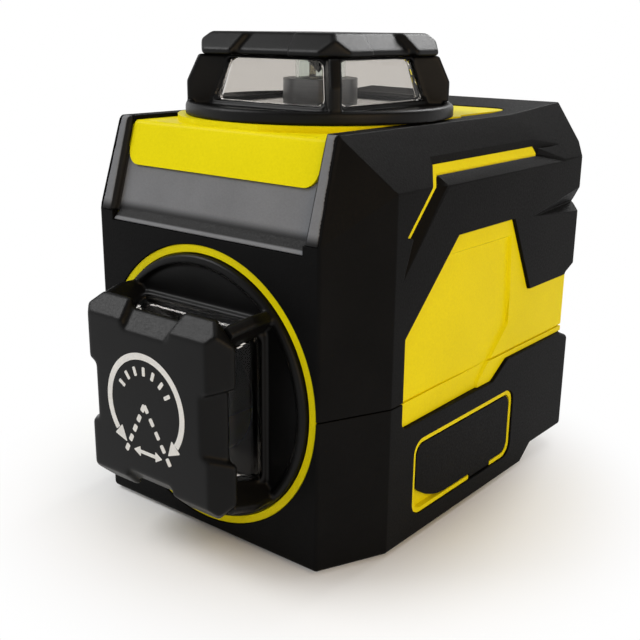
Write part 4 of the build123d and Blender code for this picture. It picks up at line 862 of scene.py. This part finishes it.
def crossArm(look, middle, mouth, turn):
    # cutter for one arm of the recess, which narrows towards its floor
    deselectAll()
    bpy.ops.mesh.primitive_cube_add(size=1, location=(*middle, mouth), rotation=(0, 0, math.radians(turn)))
    cutter = bpy.context.object
    cutter.scale = (look["arm"] * mm, look["slot"] * mm, 2 * look["depth"] * mm)
    applyPlace(cutter)
    pickVerts(cutter, lambda co: co.z > mouth)
    share = look["floorShare"]
    bpy.ops.transform.resize(value=(share, share, 1), center_override=(*middle, mouth))
    bpy.ops.object.mode_set(mode="OBJECT")
    return cutter


def driveRecesses(look):
    # cross recess sunk in the head of each base screw
    editAll(copyNode("case_screws", "case_screw_set"))
    bpy.ops.mesh.separate(type="LOOSE")
    bpy.ops.object.mode_set(mode="OBJECT")
    loose = list(bpy.context.selected_objects)
    for screw in loose:
        corners = [vert.co for vert in screw.data.vertices]
        middle = [(min(co[i] for co in corners) + max(co[i] for co in corners)) / 2 for i in (0, 1)]
        headFace = min(co.z for co in corners)
        for turn in (0, 90):
            cutWith(screw, crossArm(look, middle, headFace, turn), "DIFFERENCE")
    screwSet = joinPieces(loose, "case_screw_set")
    finishPiece(screwSet, metals["steel"], "case")
    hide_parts("case_screws")


driveRecesses(driveLook)

lampLook = {"radius": 1.05, "rise": 0.45, "above": 9.6, "sunk": 0.02, "sides": 32, "rings": 16}


def keyLamps(look):
    # domed light pipe over each key
    domes = []
    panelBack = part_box("keypad_panel")[1].y
    rim = (0, panelBack - look["sunk"] * mm, 0)
    for key in ("power", "horizontal", "vertical"):
        low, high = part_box(f"button_{key}")
        place = ((low.x + high.x) / 2, panelBack, (low.z + high.z) / 2 + look["above"] * mm)
        deselectAll()
        bpy.ops.mesh.primitive_uv_sphere_add(
            segments=look["sides"], ring_count=look["rings"], radius=look["radius"] * mm, location=place,
        )
        dome = bpy.context.object
        dome.scale = (1, look["rise"] / look["radius"], 1)
        applyPlace(dome)
        editAll(dome)
        bpy.ops.mesh.bisect(plane_co=rim, plane_no=(0, 1, 0), clear_inner=True, use_fill=True)
        bpy.ops.object.mode_set(mode="OBJECT")
        domes.append(dome)
    lampSet = joinPieces(domes, "key_lamps")
    faceOutwards(lampSet)
    finishPiece(lampSet, skins["lens"], "case")


keyLamps(lampLook)
print("fittings: thread, screw recesses and key lamps")


# floor, light and camera

stageLook = {
    "floorSize": 6.0, "floor": "#F4F4F3", "floorRoughness": 0.9, "floorSpecular": 0.1,
    "shadowReach": 0.035, "whiteFrom": 0.095,
    "ambient": 0.3, "ceiling": 0.22, "ceilingFrom": 0.10, "ceilingFull": 0.55,
}
studioLamps = [
    # name, place, aim, size in metres, power in watts, colour
    ("frontLeftSoftbox", (-0.57, -0.36, 0.68), (0, 0, 0.06), 0.42, 5.0, "#FFFFFF"),
    ("rightSoftbox", (0.42, -0.12, 0.22), (0.03, 0, 0.05), 0.34, 0.85, "#FFDAA2"),
    ("overhead", (0.05, 0.1, 1.0), (0, 0, 0.05), 0.6, 0.9, "#FFFFFF"),
    ("rearSoftbox", (-0.03, 0.72, 0.6), (0, 0.02, 0.07), 0.3, 3.0, "#FFFFFF"),
]
cameraSettings = {
    "place": (0.15132, -0.18797, 0.11556), "azimuth": 38.66, "pitch": 16.8, "roll": 0.71,
    "lens": 54.69, "sensor": 36.0, "clipStart": 0.01,
}


def seenRays(tree):
    # 1 for a ray that the eye, a mirror or a pane sends out, 0 for light that only falls on things
    path = addNode(tree, "ShaderNodeLightPath").outputs
    seen = path["Is Camera Ray"]
    for kind in ("Is Glossy Ray", "Is Transmission Ray"):
        either = addNode(tree, "ShaderNodeMath", {"operation": "MAXIMUM"}, {0: seen, 1: path[kind]})
        seen = either.outputs["Value"]
    return seen


def paleFloor(look):
    # lit floor with its shadow beside the object, even white further out
    deselectAll()
    bpy.ops.mesh.primitive_plane_add(size=look["floorSize"], location=(0, 0, 0))
    floor = bpy.context.object
    floor.name = "floor"
    material, tree, shader = startMaterial("pale_floor")
    dressShader(tree, shader, {
        "Base Color": linear(look["floor"]), "Roughness": look["floorRoughness"],
        "Specular IOR Level": look["floorSpecular"],
    }, {})
    place = addNode(tree, "ShaderNodeTexCoord").outputs["Object"]
    away = addNode(tree, "ShaderNodeVectorMath", {"operation": "LENGTH"}, {"Vector": place}).outputs["Value"]
    fade = addNode(
        tree, "ShaderNodeMapRange",
        {"interpolation_type": "SMOOTHSTEP", "From Min": look["shadowReach"], "From Max": look["whiteFrom"]},
        {"Value": away},
    ).outputs["Result"]
    share = addNode(tree, "ShaderNodeMath", {"operation": "MULTIPLY"}, {0: fade, 1: seenRays(tree)})
    glow = addNode(tree, "ShaderNodeEmission", {"Color": white, "Strength": 1.0}).outputs["Emission"]
    mix = addNode(
        tree, "ShaderNodeMixShader",
        links={0: share.outputs["Value"], 1: shader.outputs["BSDF"], 2: glow},
    )
    tree.links.new(mix.outputs["Shader"], tree.nodes["Material Output"].inputs["Surface"])
    floor.data.materials.append(material)


def studioWorld(look):
    # white where it is seen, also through glass. Mirrors show white under a dark ceiling,
    # and all else gets soft grey light
    world = bpy.data.worlds.new("studio")
    bpy.context.scene.world = world
    world.use_nodes = True
    tree = world.node_tree
    background = tree.nodes["Background"]
    direction = addNode(tree, "ShaderNodeTexCoord").outputs["Generated"]
    height = addNode(tree, "ShaderNodeSeparateXYZ", links={"Vector": direction}).outputs["Z"]
    glossy = addNode(tree, "ShaderNodeLightPath").outputs["Is Glossy Ray"]
    mirrored = addNode(tree, "ShaderNodeMath", {"operation": "MULTIPLY"}, {0: height, 1: glossy})
    wall = addNode(
        tree, "ShaderNodeMapRange",
        {
            "interpolation_type": "SMOOTHSTEP", "To Min": 1.0, "To Max": look["ceiling"],
            "From Min": look["ceilingFrom"], "From Max": look["ceilingFull"],
        },
        {"Value": mirrored.outputs["Value"]},
    )
    strength = addNode(
        tree, "ShaderNodeMapRange", {"To Min": look["ambient"]},
        {"Value": seenRays(tree), "To Max": wall.outputs["Result"]},
    )
    background.inputs["Color"].default_value = white
    tree.links.new(strength.outputs["Result"], background.inputs["Strength"])


def hangLamp(name, place, aim, size, power, colour):
    deselectAll()
    bpy.ops.object.light_add(type="AREA", location=place)
    lamp = bpy.context.object
    lamp.name = name
    lamp.data.size = size
    lamp.data.energy = power
    lamp.data.color = linear(colour)[:3]
    lamp.rotation_euler = (Vector(aim) - lamp.location).to_track_quat("-Z", "Y").to_euler()


def setCamera(view):
    deselectAll()
    bpy.ops.object.camera_add(location=view["place"])
    camera = bpy.context.object
    level = Euler((math.radians(90 - view["pitch"]), 0, math.radians(view["azimuth"]))).to_matrix()
    camera.rotation_euler = (level @ Matrix.Rotation(math.radians(view["roll"]), 3, "Z")).to_euler()
    camera.data.lens = view["lens"]
    camera.data.sensor_width = view["sensor"]
    camera.data.clip_start = view["clipStart"]
    bpy.context.scene.camera = camera


paleFloor(stageLook)
studioWorld(stageLook)
for lamp in studioLamps:
    hangLamp(*lamp)
setCamera(cameraSettings)
bpy.context.scene.view_settings.view_transform = "Standard"
print("stage: floor,", len(studioLamps), "lamps and camera")
